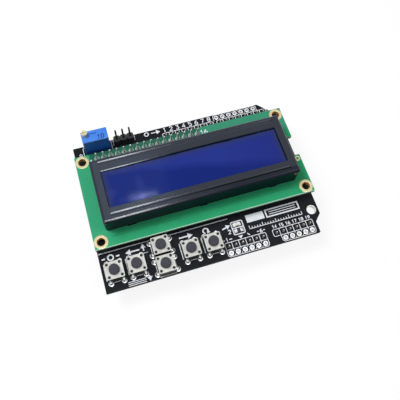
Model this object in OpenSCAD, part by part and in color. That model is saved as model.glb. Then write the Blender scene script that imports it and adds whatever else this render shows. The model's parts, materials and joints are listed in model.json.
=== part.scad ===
// LCD keypad shield: a display module on a plug-in circuit board, with six push buttons,
// a screw-adjusted trimmer, a jumper header and four rows of plug pins underneath.
// It stands on its pin tips. X runs along the long side, Y to the back, Z up.
// The origin is at the bottom centre. All sizes are in millimetres.

/* [Shield board] */
// Width of the shield board
board_w = 80; // [78:0.5:96]
// Thickness of the shield board
board_t = 1.6; // [1:0.1:2.4]
// How far the right edge stands back at the front corner
edge_step = 2.54; // [1.5:0.02:3]
// Distance from the front row of plug pins to the board's full width
step_front = 2.54; // [2:0.02:5]
// Size of the cut across the back right corner
corner_cut = 6.5; // [1:0.5:7]
// Diameter of the mounting hole
mount_hole_d = 3.2; // [2.4:0.1:3.4]
// Distance of the mounting hole behind the step in the right edge
mount_hole_y = 2.1; // [1.6:0.1:8]

/* [Plug pins] */
// Distance between neighbouring pins
pitch = 2.54; // [2.4:0.02:2.6]
// Side of a square pin
pin_sq = 0.64; // [0.5:0.02:0.7]
// Length of the bevel at a pin's tip
pin_tip = 0.5; // [0.2:0.1:1]
// Height of a header's plastic strip
strip_h = 2.54; // [2.4:0.02:4]
// Free length of the plug pins under their strips
pin_free = 6; // [4:0.5:12]
// Length by which a soldered pin stands out of its board
pin_tail = 1.2; // [0.8:0.1:1.8]
// Clearance between a pin's corner and its hole
hole_play = 0.05; // [0.02:0.01:0.12]
// Distance between the front and the back row of plug pins
row_span = 48.26; // [47:0.02:50]
// Least distance from the front edge to the front row of plug pins
row_edge = 4.04; // [3.8:0.02:5]
// Distance from the right edge to the last plug pin
grid_edge = 5.08; // [4.6:0.02:7]
// Distance from the back edge to the row of spare pads
pad_edge = 1.36; // [1:0.02:3]
// Distance of the last spare pad at the back from the last plug pin
pad_shift = 3.5; // [3:0.1:6]

/* [LCD board] */
// Width of the LCD board
lcd_w = 80; // [79:0.5:96]
// Depth of the LCD board
lcd_d = 36; // [36:0.5:44]
// Thickness of the LCD board
lcd_t = 1.6; // [1:0.1:2.4]
// Distance from the LCD board's edges to its corner holes
lcd_hole_inset = 2.5; // [2.2:0.1:2.8]
// Diameter of the LCD board's corner holes
lcd_hole_d = 3; // [2.2:0.1:3.2]
// Number of pins that join the two boards
lcd_pin_count = 16; // [8:1:18]
// Distance from the LCD board's left edge to its first pin
lcd_pin_left = 8; // [6.5:0.1:12]
// Distance from the LCD board's back edge to its pins
lcd_pin_back = 2.5; // [2:0.1:3]
// Length by which the pins stand out of the LCD board
lcd_pin_tail = 4.4; // [1:0.1:6]
// Distance from the LCD board's front edge to the notch
notch_front = 15.2; // [8:0.1:20]
// Length of the notch in the right edge
notch_len = 7.8; // [4:0.1:12]
// Depth of the notch in the right edge
notch_depth = 3; // [1:0.1:3.5]

/* [Bezel and display] */
// Distance from the LCD board's sides to the bezel
bezel_side = 5; // [4.4:0.1:8]
// Distance from the LCD board's front edge to the bezel
bezel_front = 5.7; // [4:0.1:7]
// Distance from the LCD board's back edge to the bezel
bezel_back = 6.7; // [5.5:0.1:8]
// Height of the bezel above the LCD board
bezel_h = 8; // [6.5:0.1:11]
// Thickness of the bezel's sheet
bezel_t = 0.5; // [0.3:0.05:0.8]
// Outer radius of the bezel's bends and corners
bezel_r = 1; // [0.9:0.1:1.6]
// Distance from the bezel's sides to the window
window_side = 3.1; // [2.5:0.1:6]
// Distance from the bezel's front and back to the window
window_end = 4.8; // [4.5:0.1:6.5]
// Distance from the bezel's front to its front groove
groove_front = 2.4; // [2:0.1:3.4]
// Distance from the bezel's back to its back groove
groove_back = 1.8; // [1.6:0.1:3.4]
// Width of the grooves
groove_w = 1.3; // [0.4:0.1:1.6]
// Depth of the grooves
groove_depth = 0.2; // [0.05:0.05:0.25]
// Width of the bezel's fixing tabs
tab_w = 2.6; // [1.5:0.1:4]
// Distance between neighbouring fixing tabs
tab_gap = 26; // [15:1:30]
// Length of the bent end of a fixing tab
tab_bend = 1.8; // [1:0.1:3]
// Thickness of each display glass
glass_t = 1.1; // [0.7:0.1:1.4]
// Thickness of each polariser
polariser_t = 0.2; // [0.1:0.05:0.3]
// How far the front polariser reaches under the bezel
polariser_lap = 1.5; // [0.5:0.1:2]
// Width of the contact ledge on the front glass
ledge = 2.8; // [2.5:0.1:3.2]
// Thickness of the elastomer strips
elastomer_t = 2.3; // [1.5:0.1:2.4]
// Thickness of the backlight's LED bar
led_bar_t = 1.4; // [0.8:0.1:1.8]
// Diameter of the driver blobs
blob_d = 13; // [8:0.5:16]
// Height of the driver blobs
blob_h = 1.2; // [0.6:0.1:1.6]
// Distance between the driver blobs
blob_gap = 32; // [20:1:44]

/* [Push buttons] */
// Side of a switch
switch_w = 6; // [5:0.1:6.4]
// Height of a switch's cover above the board
switch_h = 3.5; // [3.2:0.1:4.5]
// Height of a button's top above the board
button_h = 5; // [4.8:0.1:7]
// Diameter of a button
button_d = 3.5; // [2.5:0.1:3.6]
// Travel of a button
button_travel = 0.25; // [0.15:0.05:0.4]
// Clearance around a button in its cover
button_play = 0.1; // [0.05:0.01:0.15]
// Thickness of a switch's cover
cover_t = 0.3; // [0.2:0.05:0.4]
// Diameter of the studs that hold a cover
stud_d = 0.9; // [0.6:0.1:1]
// Distance from a switch's sides to its studs
stud_inset = 0.8; // [0.7:0.05:0.9]
// Distance from the front edge to the front switch of the pair
pair_edge = 0.6; // [0.3:0.1:2]
// Gap between the two switches of the pair
pair_gap = 0.8; // [0.4:0.1:2]
// Gap between the pair and the LCD board
lcd_gap = 0.7; // [0.4:0.1:4]
// Distance from the front edge to the row of single switches
row_front = 3.35; // [1.9:0.05:5]
// Share of the free width left of the first switch, in percent
first_share = 12; // [8:0.5:16]
// Share of the free width between the first two switches, in percent
second_share = 12; // [8:0.5:16]
// Share of the free width between the second switch and the pair, in percent
third_share = 26; // [22:0.5:30]
// Share of the free width between the last two switches, in percent
fourth_share = 15; // [10:0.5:18]
// Share of the free width between the last switch and the front plug strip, in percent
last_share = 7; // [4:0.5:10]
// Distance from a switch's wall to its leg holes
leg_out = 0.6; // [0.4:0.05:0.8]
// Distance between the two leg holes on one side
leg_gap = 4.5; // [3.5:0.1:4.6]
// Width of a leg
leg_w = 0.7; // [0.5:0.05:0.8]
// Thickness of a leg
leg_t = 0.3; // [0.2:0.05:0.4]

/* [Trimmer] */
// Width of the trimmer
trim_w = 9.3; // [9:0.01:11]
// Depth of the trimmer
trim_d = 4.6; // [4.5:0.01:6]
// Height of the trimmer's housing
trim_h = 10.03; // [9.5:0.01:12]
// Height of the feet under the trimmer
trim_foot = 0.4; // [0.2:0.05:0.8]
// Wall of the trimmer's housing
trim_wall = 0.7; // [0.5:0.05:0.75]
// Thickness of the housing's top
trim_top = 1.2; // [0.8:0.1:1.6]
// Thickness of the trimmer's base
trim_base_t = 1; // [0.8:0.1:1.4]
// Distance from the board's left edge to the trimmer
trim_left = 4.6; // [2:0.1:8]
// Distance from the board's back edge to the trimmer
trim_back = 0; // [0:0.05:1]
// Gap between the LCD board and the trimmer
trim_gap = 1.5; // [0.6:0.01:3]
// Diameter of the adjusting screw's head
screw_d = 2.2; // [1.6:0.1:2.3]
// Diameter of the adjusting screw's worm
worm_d = 1.1; // [0.8:0.05:1.2]
// Distance from the housing's corner sides to the screw
screw_inset = 1.4; // [1.35:0.05:1.6]
// Height of the screw above the housing
screw_out = 1.6; // [0.8:0.1:2.5]
// Width of the screw's slot
slot_w = 0.5; // [0.3:0.05:0.7]
// Depth of the screw's slot
slot_depth = 0.7; // [0.4:0.05:0.7]
// Running clearance of the screw and the rotor
trim_play = 0.05; // [0.02:0.01:0.08]
// Radius of the rotor wheel
rotor_r = 2.9; // [2:0.1:3]
// Thickness of the rotor wheel
rotor_t = 1.2; // [0.8:0.1:1.2]
// Diameter of the pivot that carries the rotor
pivot_d = 1.2; // [0.8:0.1:1.6]

/* [Small parts] */
// Number of pins on the jumper header
jumper_pin_count = 3; // [2:1:4]
// Length of the jumper pins above their strip
jumper_free = 6; // [4:0.5:8]
// Gap between the trimmer and the jumper header
jumper_gap = 1.6; // [0.8:0.1:2]
// Distance from the back edge to the jumper pins
jumper_edge = 1.37; // [1.3:0.01:3]
// Length of a chip part
chip_l = 2; // [1.6:0.1:2.2]
// Width of a chip part
chip_w = 1.25; // [0.8:0.05:1.3]
// Height of a chip part
chip_h = 0.55; // [0.3:0.05:0.8]
// Distance between chip parts in a row
chip_step = 5; // [4:0.5:6]
// Distance from the board's left edge to the first chip under the LCD board
chip_left = 12; // [6:0.5:16]
// Distance from the LCD board's front edge to the chips under it
chip_front = 2.5; // [2:0.1:5]

/* [Hidden] */
$fn = 48;
eps = 0.01;

// Plan of the shield board
front_strip = pair_edge + 2 * switch_w + pair_gap + lcd_gap;
back_strip = trim_back + trim_d + trim_gap;
board_d = max(front_strip + lcd_d + back_strip, row_edge + row_span + pitch + pad_edge);
x_left = -board_w / 2;
x_right = board_w / 2;
x_side = x_right - edge_step;
y_front = -board_d / 2;
y_back = board_d / 2;

// Heights
z_board = pin_free + strip_h;
z_top = z_board + board_t;
z_lcd = z_top + strip_h;
z_lcd_top = z_lcd + lcd_t;
z_bezel = z_lcd_top + bezel_h;

// Plug headers: first pin and number of pins
back_row_y = y_back - pad_edge - pitch;
front_row_y = back_row_y - row_span;
y_step = front_row_y + step_front;
last_pin_x = x_right - grid_edge;
analog_pins = 6;
power_pins = 6;
low_pins = 8;
high_pins = 8;
analog_x = last_pin_x - (analog_pins - 1) * pitch;
power_x = analog_x - (power_pins + 1) * pitch;
low_x = last_pin_x - (low_pins - 1) * pitch;
high_x = low_x - (high_pins + 0.6) * pitch;
pin_hole_d = pin_sq * sqrt(2) + 2 * hole_play;
strip_cut = 0.5;

// Spare pads: holes beside the plug pins
spare_analog = 5;
spare_back = 7;
spare_back_x = last_pin_x - pad_shift - (spare_back - 1) * pitch;

// LCD board
lcd_front_y = y_back - back_strip - lcd_d;
lcd_back_y = y_back - back_strip;
lcd_x = x_left + lcd_w / 2;
lcd_y = (lcd_front_y + lcd_back_y) / 2;
lcd_pin_x = x_left + lcd_pin_left;
lcd_pin_y = lcd_back_y - lcd_pin_back;
lcd_hole_dx = lcd_w - 2 * lcd_hole_inset;
lcd_hole_dy = lcd_d - 2 * lcd_hole_inset;

// Bezel, window and display stack
bezel_w = lcd_w - 2 * bezel_side;
bezel_d = lcd_d - bezel_front - bezel_back;
bezel_y = (lcd_front_y + bezel_front + lcd_back_y - bezel_back) / 2;
window_w = bezel_w - 2 * window_side;
window_d = bezel_d - 2 * window_end;
window_r = 0.6;
slot_play = 0.2;
glass_play = 0.2;
glass_w = bezel_w - 2 * (bezel_t + glass_play);
glass_d = bezel_d - 2 * (bezel_t + glass_play);
rear_glass_d = glass_d - 2 * ledge;
z_polariser = z_bezel - bezel_t - polariser_t;
z_front_glass = z_polariser - glass_t;
z_rear_glass = z_front_glass - glass_t;
z_rear_polariser = z_rear_glass - polariser_t;
guide_w = glass_w - 2 * led_bar_t;
guide_d = rear_glass_d - glass_play;
elastomer_l = glass_w - 2 * bezel_t;
elastomer_y = rear_glass_d / 2 + (ledge - elastomer_t) / 2 + elastomer_t / 2;

// Switches: plan position and turn of each
SWITCHES = ["select", "left", "up", "down", "right", "reset"];
single_y = y_front + row_front + switch_w / 2;
down_y = y_front + pair_edge + switch_w / 2;
up_y = down_y + switch_w + pair_gap;
free_w = power_x - pitch / 2 - x_left - 5 * switch_w;
select_x = x_left + free_w * first_share / 100 + switch_w / 2;
left_x = select_x + switch_w + free_w * second_share / 100;
pair_x = left_x + switch_w + free_w * third_share / 100;
reset_x = power_x - pitch / 2 - free_w * last_share / 100 - switch_w / 2;
right_x = reset_x - switch_w - free_w * fourth_share / 100;
switch_x = [select_x, left_x, pair_x, pair_x, right_x, reset_x];
switch_y = [single_y, single_y, up_y, down_y, single_y, single_y];
switch_turn = [0, 0, 90, 90, 0, 0];

// Inside of a switch, as heights above the board
base_h = switch_h - cover_t;
floor_h = 1;
well_d = 4.6;
dome_d = 4;
dome_rise = 0.3;
dome_t = 0.1;
flange_d = 4.2;
flange_t = 0.6;
press_play = 0.05;
foot_d = 1.6;
foot_h = floor_h + dome_rise + button_travel + press_play;
button_edge = 0.2;
stud_head = 0.12;
stud_play = 0.05;
switch_edge = 0.3;
leg_h = 0.4;
leg_tail = 1;
leg_hole_d = sqrt(leg_w * leg_w + leg_t * leg_t) + 0.3;
leg_y = switch_w / 2 + leg_out;

// Trimmer
trim_x = x_left + trim_left + trim_w / 2;
trim_y = y_back - trim_back - trim_d / 2;
trim_edge = 0.25;
foot_l = 1.4;
z_trim = z_top + trim_foot;
screw_x = trim_x - trim_w / 2 + screw_inset;
screw_y = trim_y + trim_d / 2 - screw_inset;
worm_seat = 0.4;
rotor_x = screw_x + worm_d / 2 + 2 * trim_play + rotor_r;
rotor_z = z_trim + (trim_base_t + trim_h - trim_top) / 2;
rotor_back = trim_y + trim_d / 2 - trim_wall - 2 * trim_play;
element_t = 0.6;
element_gap = 0.1;
hub_d = 2.4;
trim_pin_d = 0.5;
trim_pin_in = 0.4;

// Small parts
jumper_x = trim_x + trim_w / 2 + jumper_gap + pitch / 2;
jumper_y = y_back - jumper_edge;
led_x = power_x + 2 * pitch;
led_y = front_row_y + 2.7 * pitch;
led_resistor_y = front_row_y + 1.8 * pitch;
ladder_chips = 5;
ladder_y = lcd_front_y + chip_front;
ladder_x = x_left + chip_left;
capacitor_chips = 2;
capacitor_x = power_x;
transistor_x = power_x + 3 * chip_step;

// Rectangle with cut corners, centred
module cut_rectangle(w, d, c) {
    polygon([
        [-w / 2 + c, -d / 2], [w / 2 - c, -d / 2], [w / 2, -d / 2 + c], [w / 2, d / 2 - c],
        [w / 2 - c, d / 2], [-w / 2 + c, d / 2], [-w / 2, d / 2 - c], [-w / 2, -d / 2 + c]
    ]);
}

// Rectangle with round corners, centred
module round_rectangle(w, d, r) {
    square([w - 2 * r, d], center = true);
    square([w, d - 2 * r], center = true);
    for (sx = [-1, 1], sy = [-1, 1])
        translate([sx * (w / 2 - r), sy * (d / 2 - r)]) circle(r);
}

// Upright profile with round top corners, standing on the X axis
module arch(w, h, r) {
    translate([-w / 2, 0]) square([w, h - r]);
    translate([-w / 2 + r, 0]) square([w - 2 * r, h]);
    for (s = [-1, 1])
        translate([s * (w / 2 - r), h - r]) circle(r);
}

// Block with round top edges and round upright corners, standing at z 0
module dish(w, d, h, r) {
    intersection() {
        rotate([90, 0, 0]) linear_extrude(d, center = true) arch(w, h, r);
        rotate([90, 0, 90]) linear_extrude(w, center = true) arch(d, h, r);
        linear_extrude(h) round_rectangle(w, d, r);
    }
}

// Block standing at z 0 with all its edges cut
module cut_block(w, d, h, c) {
    intersection() {
        linear_extrude(h) cut_rectangle(w, d, c);
        rotate([90, 0, 0]) linear_extrude(d, center = true)
            translate([0, h / 2]) cut_rectangle(w, h, c);
        rotate([90, 0, 90]) linear_extrude(w, center = true)
            translate([0, h / 2]) cut_rectangle(d, h, c);
    }
}

// Row of things along X, a pitch apart
module row(first_x, y, count) {
    for (i = [0 : count - 1])
        translate([first_x + i * pitch, y, 0]) children();
}

// Upright profile of a square pin with bevelled ends
module pin_profile(z0, z1) {
    half = pin_sq / 2;
    polygon([
        [-half, z0 + pin_tip], [-half / 2, z0], [half / 2, z0], [half, z0 + pin_tip],
        [half, z1 - pin_tip], [half / 2, z1], [-half / 2, z1], [-half, z1 - pin_tip]
    ]);
}

// Square pin with both tips bevelled on four sides
module pin(z0, z1) {
    intersection() {
        rotate([90, 0, 0]) linear_extrude(pin_sq, center = true) pin_profile(z0, z1);
        rotate([90, 0, 90]) linear_extrude(pin_sq, center = true) pin_profile(z0, z1);
    }
}

// Plastic strip of a header, notched between its pins
module strip(first_x, y, count, z0) {
    translate([0, 0, z0]) linear_extrude(strip_h) difference() {
        row(first_x, y, count) cut_rectangle(pitch, pitch, strip_cut);
        row(first_x, y, count) square(pin_sq, center = true);
    }
}

// Plug pins of one header, from the tips to the solder side
module plug_pins(first_x, y, count) {
    row(first_x, y, count) pin(0, z_top + pin_tail);
}

// Moves to the place of one switch on the board
module at_switch(i) {
    translate([switch_x[i], switch_y[i], z_top]) rotate(switch_turn[i]) children();
}

// Repeats at the four studs of a switch
module at_studs() {
    stud = switch_w / 2 - stud_inset;
    for (sx = [-1, 1], sy = [-1, 1])
        translate([sx * stud, sy * stud, 0]) children();
}

// Repeats at the four leg holes of a switch, facing outwards
module at_legs() {
    for (side = [0, 180], sx = [-1, 1])
        rotate(side) translate([sx * leg_gap / 2, 0, 0]) children();
}

// Through hole in the shield board
module board_hole(d) {
    translate([0, 0, z_board - 1]) cylinder(d = d, h = board_t + 2);
}

module shield_outline() {
    polygon([
        [x_left, y_front], [x_side, y_front], [x_side, y_step - edge_step], [x_right, y_step],
        [x_right, y_back - corner_cut], [x_right - corner_cut, y_back], [x_left, y_back]
    ]);
}

module shield_board() {
    spare_front_y = front_row_y - pitch;
    spare_analog_x = analog_x + (analog_pins - spare_analog) * pitch;
    color([0.1, 0.1, 0.12]) difference() {
        translate([0, 0, z_board]) linear_extrude(board_t) shield_outline();
        translate([x_side, y_step + mount_hole_y, 0]) board_hole(mount_hole_d);
        row(power_x, front_row_y, power_pins) board_hole(pin_hole_d);
        row(analog_x, front_row_y, analog_pins) board_hole(pin_hole_d);
        row(low_x, back_row_y, low_pins) board_hole(pin_hole_d);
        row(high_x, back_row_y, high_pins) board_hole(pin_hole_d);
        row(power_x, spare_front_y, power_pins) board_hole(pin_hole_d);
        row(spare_analog_x, spare_front_y, spare_analog) board_hole(pin_hole_d);
        row(spare_back_x, back_row_y + pitch, spare_back) board_hole(pin_hole_d);
        row(lcd_pin_x, lcd_pin_y, lcd_pin_count) board_hole(pin_hole_d);
        row(jumper_x, jumper_y, jumper_pin_count) board_hole(pin_hole_d);
        row(trim_x - pitch, trim_y, 3) board_hole(trim_pin_d + 2 * hole_play);
        for (i = [0 : len(SWITCHES) - 1])
            translate([switch_x[i], switch_y[i], 0]) rotate(switch_turn[i])
                at_legs() translate([0, leg_y, 0]) board_hole(leg_hole_d);
    }
}

// Repeats at the six fixing tabs of the bezel, facing outwards
module at_tabs() {
    for (side = [0, 180], i = [-1, 0, 1])
        translate([lcd_x, bezel_y, 0]) rotate(side)
            translate([i * tab_gap, bezel_d / 2 - bezel_t, 0]) children();
}

module lcd_board() {
    cut_h = lcd_t + 2;
    color([0.15, 0.55, 0.35]) difference() {
        translate([lcd_x - lcd_w / 2, lcd_front_y, z_lcd]) cube([lcd_w, lcd_d, lcd_t]);
        translate([lcd_x + lcd_w / 2 - notch_depth, lcd_front_y + notch_front, z_lcd - 1])
            cube([notch_depth + 1, notch_len, cut_h]);
        for (sx = [-1, 1], sy = [-1, 1])
            translate([lcd_x + sx * lcd_hole_dx / 2, lcd_y + sy * lcd_hole_dy / 2, z_lcd - 1])
                cylinder(d = lcd_hole_d, h = cut_h);
        row(lcd_pin_x, lcd_pin_y, lcd_pin_count)
            translate([0, 0, z_lcd - 1]) cylinder(d = pin_hole_d, h = cut_h);
        at_tabs()
            translate([-tab_w / 2 - slot_play, -slot_play, z_lcd - 1])
                cube([tab_w + 2 * slot_play, bezel_t + 2 * slot_play, cut_h]);
    }
}

module bezel_groove(y) {
    r = (groove_w * groove_w / 4 + groove_depth * groove_depth) / (2 * groove_depth);
    translate([lcd_x, y, z_bezel - groove_depth + r]) rotate([0, 90, 0])
        cylinder(r = r, h = window_w, center = true);
}

module lcd_bezel() {
    color([0.13, 0.13, 0.15]) {
        difference() {
            translate([lcd_x, bezel_y, z_lcd_top]) dish(bezel_w, bezel_d, bezel_h, bezel_r);
            translate([lcd_x, bezel_y, z_lcd_top - eps])
                dish(bezel_w - 2 * bezel_t, bezel_d - 2 * bezel_t,
                     bezel_h - bezel_t + eps, bezel_r - bezel_t);
            translate([lcd_x, bezel_y, z_bezel - bezel_t - 1])
                linear_extrude(bezel_t + 2) round_rectangle(window_w, window_d, window_r);
            bezel_groove(bezel_y - bezel_d / 2 + groove_front);
            bezel_groove(bezel_y + bezel_d / 2 - groove_back);
        }
        at_tabs() {
            translate([-tab_w / 2, 0, z_lcd - bezel_t]) cube([tab_w, bezel_t, lcd_t + 2 * bezel_t]);
            translate([-tab_w / 2, -tab_bend, z_lcd - bezel_t])
                cube([tab_w, tab_bend + eps, bezel_t]);
        }
    }
}

// Flat layer of the display, centred in the bezel
module layer(w, d, z, t) {
    translate([lcd_x, bezel_y, z]) linear_extrude(t) square([w, d], center = true);
}

module front_polariser() {
    lap = 2 * polariser_lap;
    color([0.12, 0.16, 0.55]) layer(window_w + lap, window_d + lap, z_polariser, polariser_t);
}

module front_glass() {
    color([0.75, 0.85, 0.85]) layer(glass_w, glass_d, z_front_glass, glass_t);
}

module rear_glass() {
    color([0.7, 0.8, 0.8]) layer(glass_w, rear_glass_d, z_rear_glass, glass_t);
}

module rear_polariser() {
    color([0.1, 0.12, 0.4]) layer(window_w, rear_glass_d, z_rear_polariser, polariser_t);
}

module light_guide() {
    color([0.92, 0.94, 0.95]) translate([-led_bar_t, 0, 0])
        layer(guide_w, guide_d, z_lcd_top, z_rear_polariser - z_lcd_top);
}

module backlight_led_bar() {
    color([0.85, 0.85, 0.75]) translate([guide_w / 2 - led_bar_t / 2, 0, 0])
        layer(led_bar_t, guide_d, z_lcd_top, z_rear_polariser - z_lcd_top);
}

module elastomer_strip(side) {
    color([0.9, 0.6, 0.65]) translate([0, side * elastomer_y, 0])
        layer(elastomer_l, elastomer_t, z_lcd_top, z_front_glass - z_lcd_top);
}

module elastomer_strip_front() {
    elastomer_strip(-1);
}

module elastomer_strip_back() {
    elastomer_strip(1);
}

module driver_blobs() {
    r = (blob_d * blob_d / 4 + blob_h * blob_h) / (2 * blob_h);
    color([0.08, 0.08, 0.08])
        for (s = [-1, 1]) translate([lcd_x + s * blob_gap / 2, bezel_y, z_lcd]) rotate_extrude()
            intersection() {
                translate([0, r - blob_h]) circle(r, $fn = 360);
                translate([0, -blob_h]) square([blob_d / 2, blob_h]);
            }
}

module lcd_header_strip() {
    color([0.12, 0.12, 0.12]) strip(lcd_pin_x, lcd_pin_y, lcd_pin_count, z_top);
}

module lcd_header_pins() {
    color([0.8, 0.75, 0.55]) row(lcd_pin_x, lcd_pin_y, lcd_pin_count)
        pin(z_board - pin_tail, z_lcd_top + lcd_pin_tail);
}

module switch_base(i) {
    color([0.1, 0.1, 0.1]) at_switch(i) difference() {
        union() {
            linear_extrude(base_h) cut_rectangle(switch_w, switch_w, switch_edge);
            at_studs() cylinder(d = stud_d, h = switch_h + stud_head);
        }
        translate([0, 0, floor_h]) cylinder(d = well_d, h = switch_h);
    }
}

module switch_cover(i) {
    color([0.85, 0.86, 0.84]) at_switch(i) translate([0, 0, base_h]) linear_extrude(cover_t)
        difference() {
            cut_rectangle(switch_w, switch_w, switch_edge);
            circle(d = button_d + 2 * button_play);
            at_studs() circle(d = stud_d + 2 * stud_play);
        }
}

module push_button(i) {
    flange_top = base_h - press_play;
    color([0.2, 0.2, 0.22]) at_switch(i) rotate_extrude() polygon([
        [0, foot_h], [foot_d / 2, foot_h], [foot_d / 2, flange_top - flange_t],
        [flange_d / 2, flange_top - flange_t], [flange_d / 2, flange_top],
        [button_d / 2, flange_top], [button_d / 2, button_h - button_edge],
        [button_d / 2 - button_edge, button_h], [0, button_h]
    ]);
}

module switch_domes() {
    r = (dome_d * dome_d / 4 + dome_rise * dome_rise) / (2 * dome_rise);
    color([0.8, 0.8, 0.82])
        for (i = [0 : len(SWITCHES) - 1]) at_switch(i) rotate_extrude()
            intersection() {
                translate([0, floor_h + dome_rise - r]) difference() {
                    circle(r, $fn = 360);
                    circle(r - dome_t, $fn = 360);
                }
                translate([0, floor_h]) square([dome_d / 2, dome_rise]);
            }
}

// One leg of a switch: out of the wall, then down through the board
module leg() {
    wall = switch_w / 2;
    rotate([90, 0, 90]) linear_extrude(leg_w, center = true) polygon([
        [wall, leg_h], [leg_y - leg_t / 2, leg_h], [leg_y - leg_t / 2, -board_t - leg_tail],
        [leg_y + leg_t / 2, -board_t - leg_tail], [leg_y + leg_t / 2, leg_h + leg_t],
        [wall, leg_h + leg_t]
    ]);
}

module switch_legs() {
    color([0.8, 0.8, 0.78])
        for (i = [0 : len(SWITCHES) - 1]) at_switch(i) at_legs() leg();
}

module trimmer_housing() {
    inner_h = trim_h - trim_top;
    pivot_l = 2 * trim_play + rotor_t;
    color([0.15, 0.35, 0.8]) {
        translate([trim_x, trim_y, z_trim]) difference() {
            cut_block(trim_w, trim_d, trim_h, trim_edge);
            translate([0, 0, inner_h / 2 - eps])
                cube([trim_w - 2 * trim_wall, trim_d - 2 * trim_wall, inner_h + 2 * eps], center = true);
            translate([screw_x - trim_x, screw_y - trim_y, inner_h - 1])
                cylinder(d = screw_d + 2 * trim_play, h = trim_top + 2);
        }
        translate([rotor_x, rotor_back + 2 * trim_play + eps, rotor_z]) rotate([90, 0, 0])
            cylinder(d = pivot_d, h = pivot_l + eps);
        for (side = [-1, 1], end = [-1, 1])
            translate([trim_x + side * (trim_w / 2 - trim_edge - foot_l / 2),
                       trim_y + end * (trim_d - trim_wall - trim_edge) / 2, z_top + (trim_foot + eps) / 2])
                cube([foot_l, trim_wall - trim_edge, trim_foot + eps], center = true);
    }
}

module trimmer_base() {
    color([0.1, 0.2, 0.45]) difference() {
        translate([trim_x, trim_y, z_trim + trim_base_t / 2])
            cube([trim_w - 2 * trim_wall, trim_d - 2 * trim_wall, trim_base_t], center = true);
        row(trim_x - pitch, trim_y, 3)
            translate([0, 0, z_trim - 1]) cylinder(d = trim_pin_d, h = trim_base_t + 2);
        translate([screw_x, screw_y, z_trim + trim_base_t - worm_seat])
            cylinder(d = worm_d + 2 * trim_play, h = worm_seat + 1);
    }
}

module trimmer_screw() {
    worm_z = z_trim + trim_base_t - worm_seat + trim_play;
    head_z = z_trim + trim_h - trim_top;
    top_z = z_trim + trim_h + screw_out;
    color([0.8, 0.66, 0.3]) difference() {
        translate([screw_x, screw_y, 0]) union() {
            translate([0, 0, worm_z]) cylinder(d = worm_d, h = head_z - worm_z + eps);
            translate([0, 0, head_z]) cylinder(d = screw_d, h = top_z - head_z);
        }
        translate([screw_x, screw_y, top_z])
            cube([screw_d + 1, slot_w, 2 * slot_depth], center = true);
    }
}

module trimmer_rotor() {
    element_y = trim_y - trim_d / 2 + trim_wall + element_t;
    hub_l = rotor_back - rotor_t - element_y - element_gap;
    color([0.9, 0.9, 0.86]) difference() {
        translate([rotor_x, rotor_back, rotor_z]) rotate([90, 0, 0]) {
            cylinder(r = rotor_r, h = rotor_t);
            translate([0, 0, rotor_t - eps]) cylinder(d = hub_d, h = hub_l + eps);
        }
        translate([rotor_x, rotor_back + 1, rotor_z]) rotate([90, 0, 0])
            cylinder(d = pivot_d + 2 * trim_play, h = rotor_t + 1 + trim_play);
    }
}

module trimmer_element() {
    inner_w = trim_w - 2 * trim_wall;
    inner_h = trim_h - trim_top - trim_base_t;
    color([0.93, 0.92, 0.88])
        translate([trim_x - inner_w / 2, trim_y - trim_d / 2 + trim_wall, z_trim + trim_base_t])
            cube([inner_w, element_t, inner_h]);
}

module trimmer_pins() {
    z0 = z_board - pin_tail;
    color([0.8, 0.8, 0.78]) row(trim_x - pitch, trim_y, 3)
        translate([0, 0, z0]) cylinder(d = trim_pin_d, h = z_trim + trim_base_t + trim_pin_in - z0);
}

module jumper_header_strip() {
    color([0.12, 0.12, 0.12]) strip(jumper_x, jumper_y, jumper_pin_count, z_top);
}

module jumper_header_pins() {
    color([0.8, 0.75, 0.55]) row(jumper_x, jumper_y, jumper_pin_count)
        pin(z_board - pin_tail, z_top + strip_h + jumper_free);
}

module power_header_strip() {
    color([0.12, 0.12, 0.12]) strip(power_x, front_row_y, power_pins, pin_free);
}

module power_header_pins() {
    color([0.8, 0.75, 0.55]) plug_pins(power_x, front_row_y, power_pins);
}

module analog_header_strip() {
    color([0.12, 0.12, 0.12]) strip(analog_x, front_row_y, analog_pins, pin_free);
}

module analog_header_pins() {
    color([0.8, 0.75, 0.55]) plug_pins(analog_x, front_row_y, analog_pins);
}

module low_header_strip() {
    color([0.12, 0.12, 0.12]) strip(low_x, back_row_y, low_pins, pin_free);
}

module low_header_pins() {
    color([0.8, 0.75, 0.55]) plug_pins(low_x, back_row_y, low_pins);
}

module high_header_strip() {
    color([0.12, 0.12, 0.12]) strip(high_x, back_row_y, high_pins, pin_free);
}

module high_header_pins() {
    color([0.8, 0.75, 0.55]) plug_pins(high_x, back_row_y, high_pins);
}

// Chip part lying along X at a place on the board
module chip(x, y) {
    translate([x, y, z_top]) cut_block(chip_l, chip_w, chip_h, chip_h / 10);
}

module power_led() {
    lens_l = chip_l * 0.6;
    color([0.95, 0.95, 0.9]) translate([led_x, led_y, z_top]) {
        cut_block(chip_l, chip_w, chip_h, chip_h / 10);
        translate([0, 0, chip_h - eps]) cut_block(lens_l, chip_w * 0.9, chip_h / 2, chip_h / 8);
    }
}

module chip_resistors() {
    color([0.12, 0.12, 0.13]) {
        chip(led_x, led_resistor_y);
        for (i = [0 : ladder_chips - 1])
            chip(ladder_x + i * chip_step, ladder_y);
    }
}

module chip_capacitors() {
    color([0.6, 0.48, 0.35])
        for (i = [0 : capacitor_chips - 1])
            chip(capacitor_x + i * chip_step, ladder_y);
}

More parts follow.
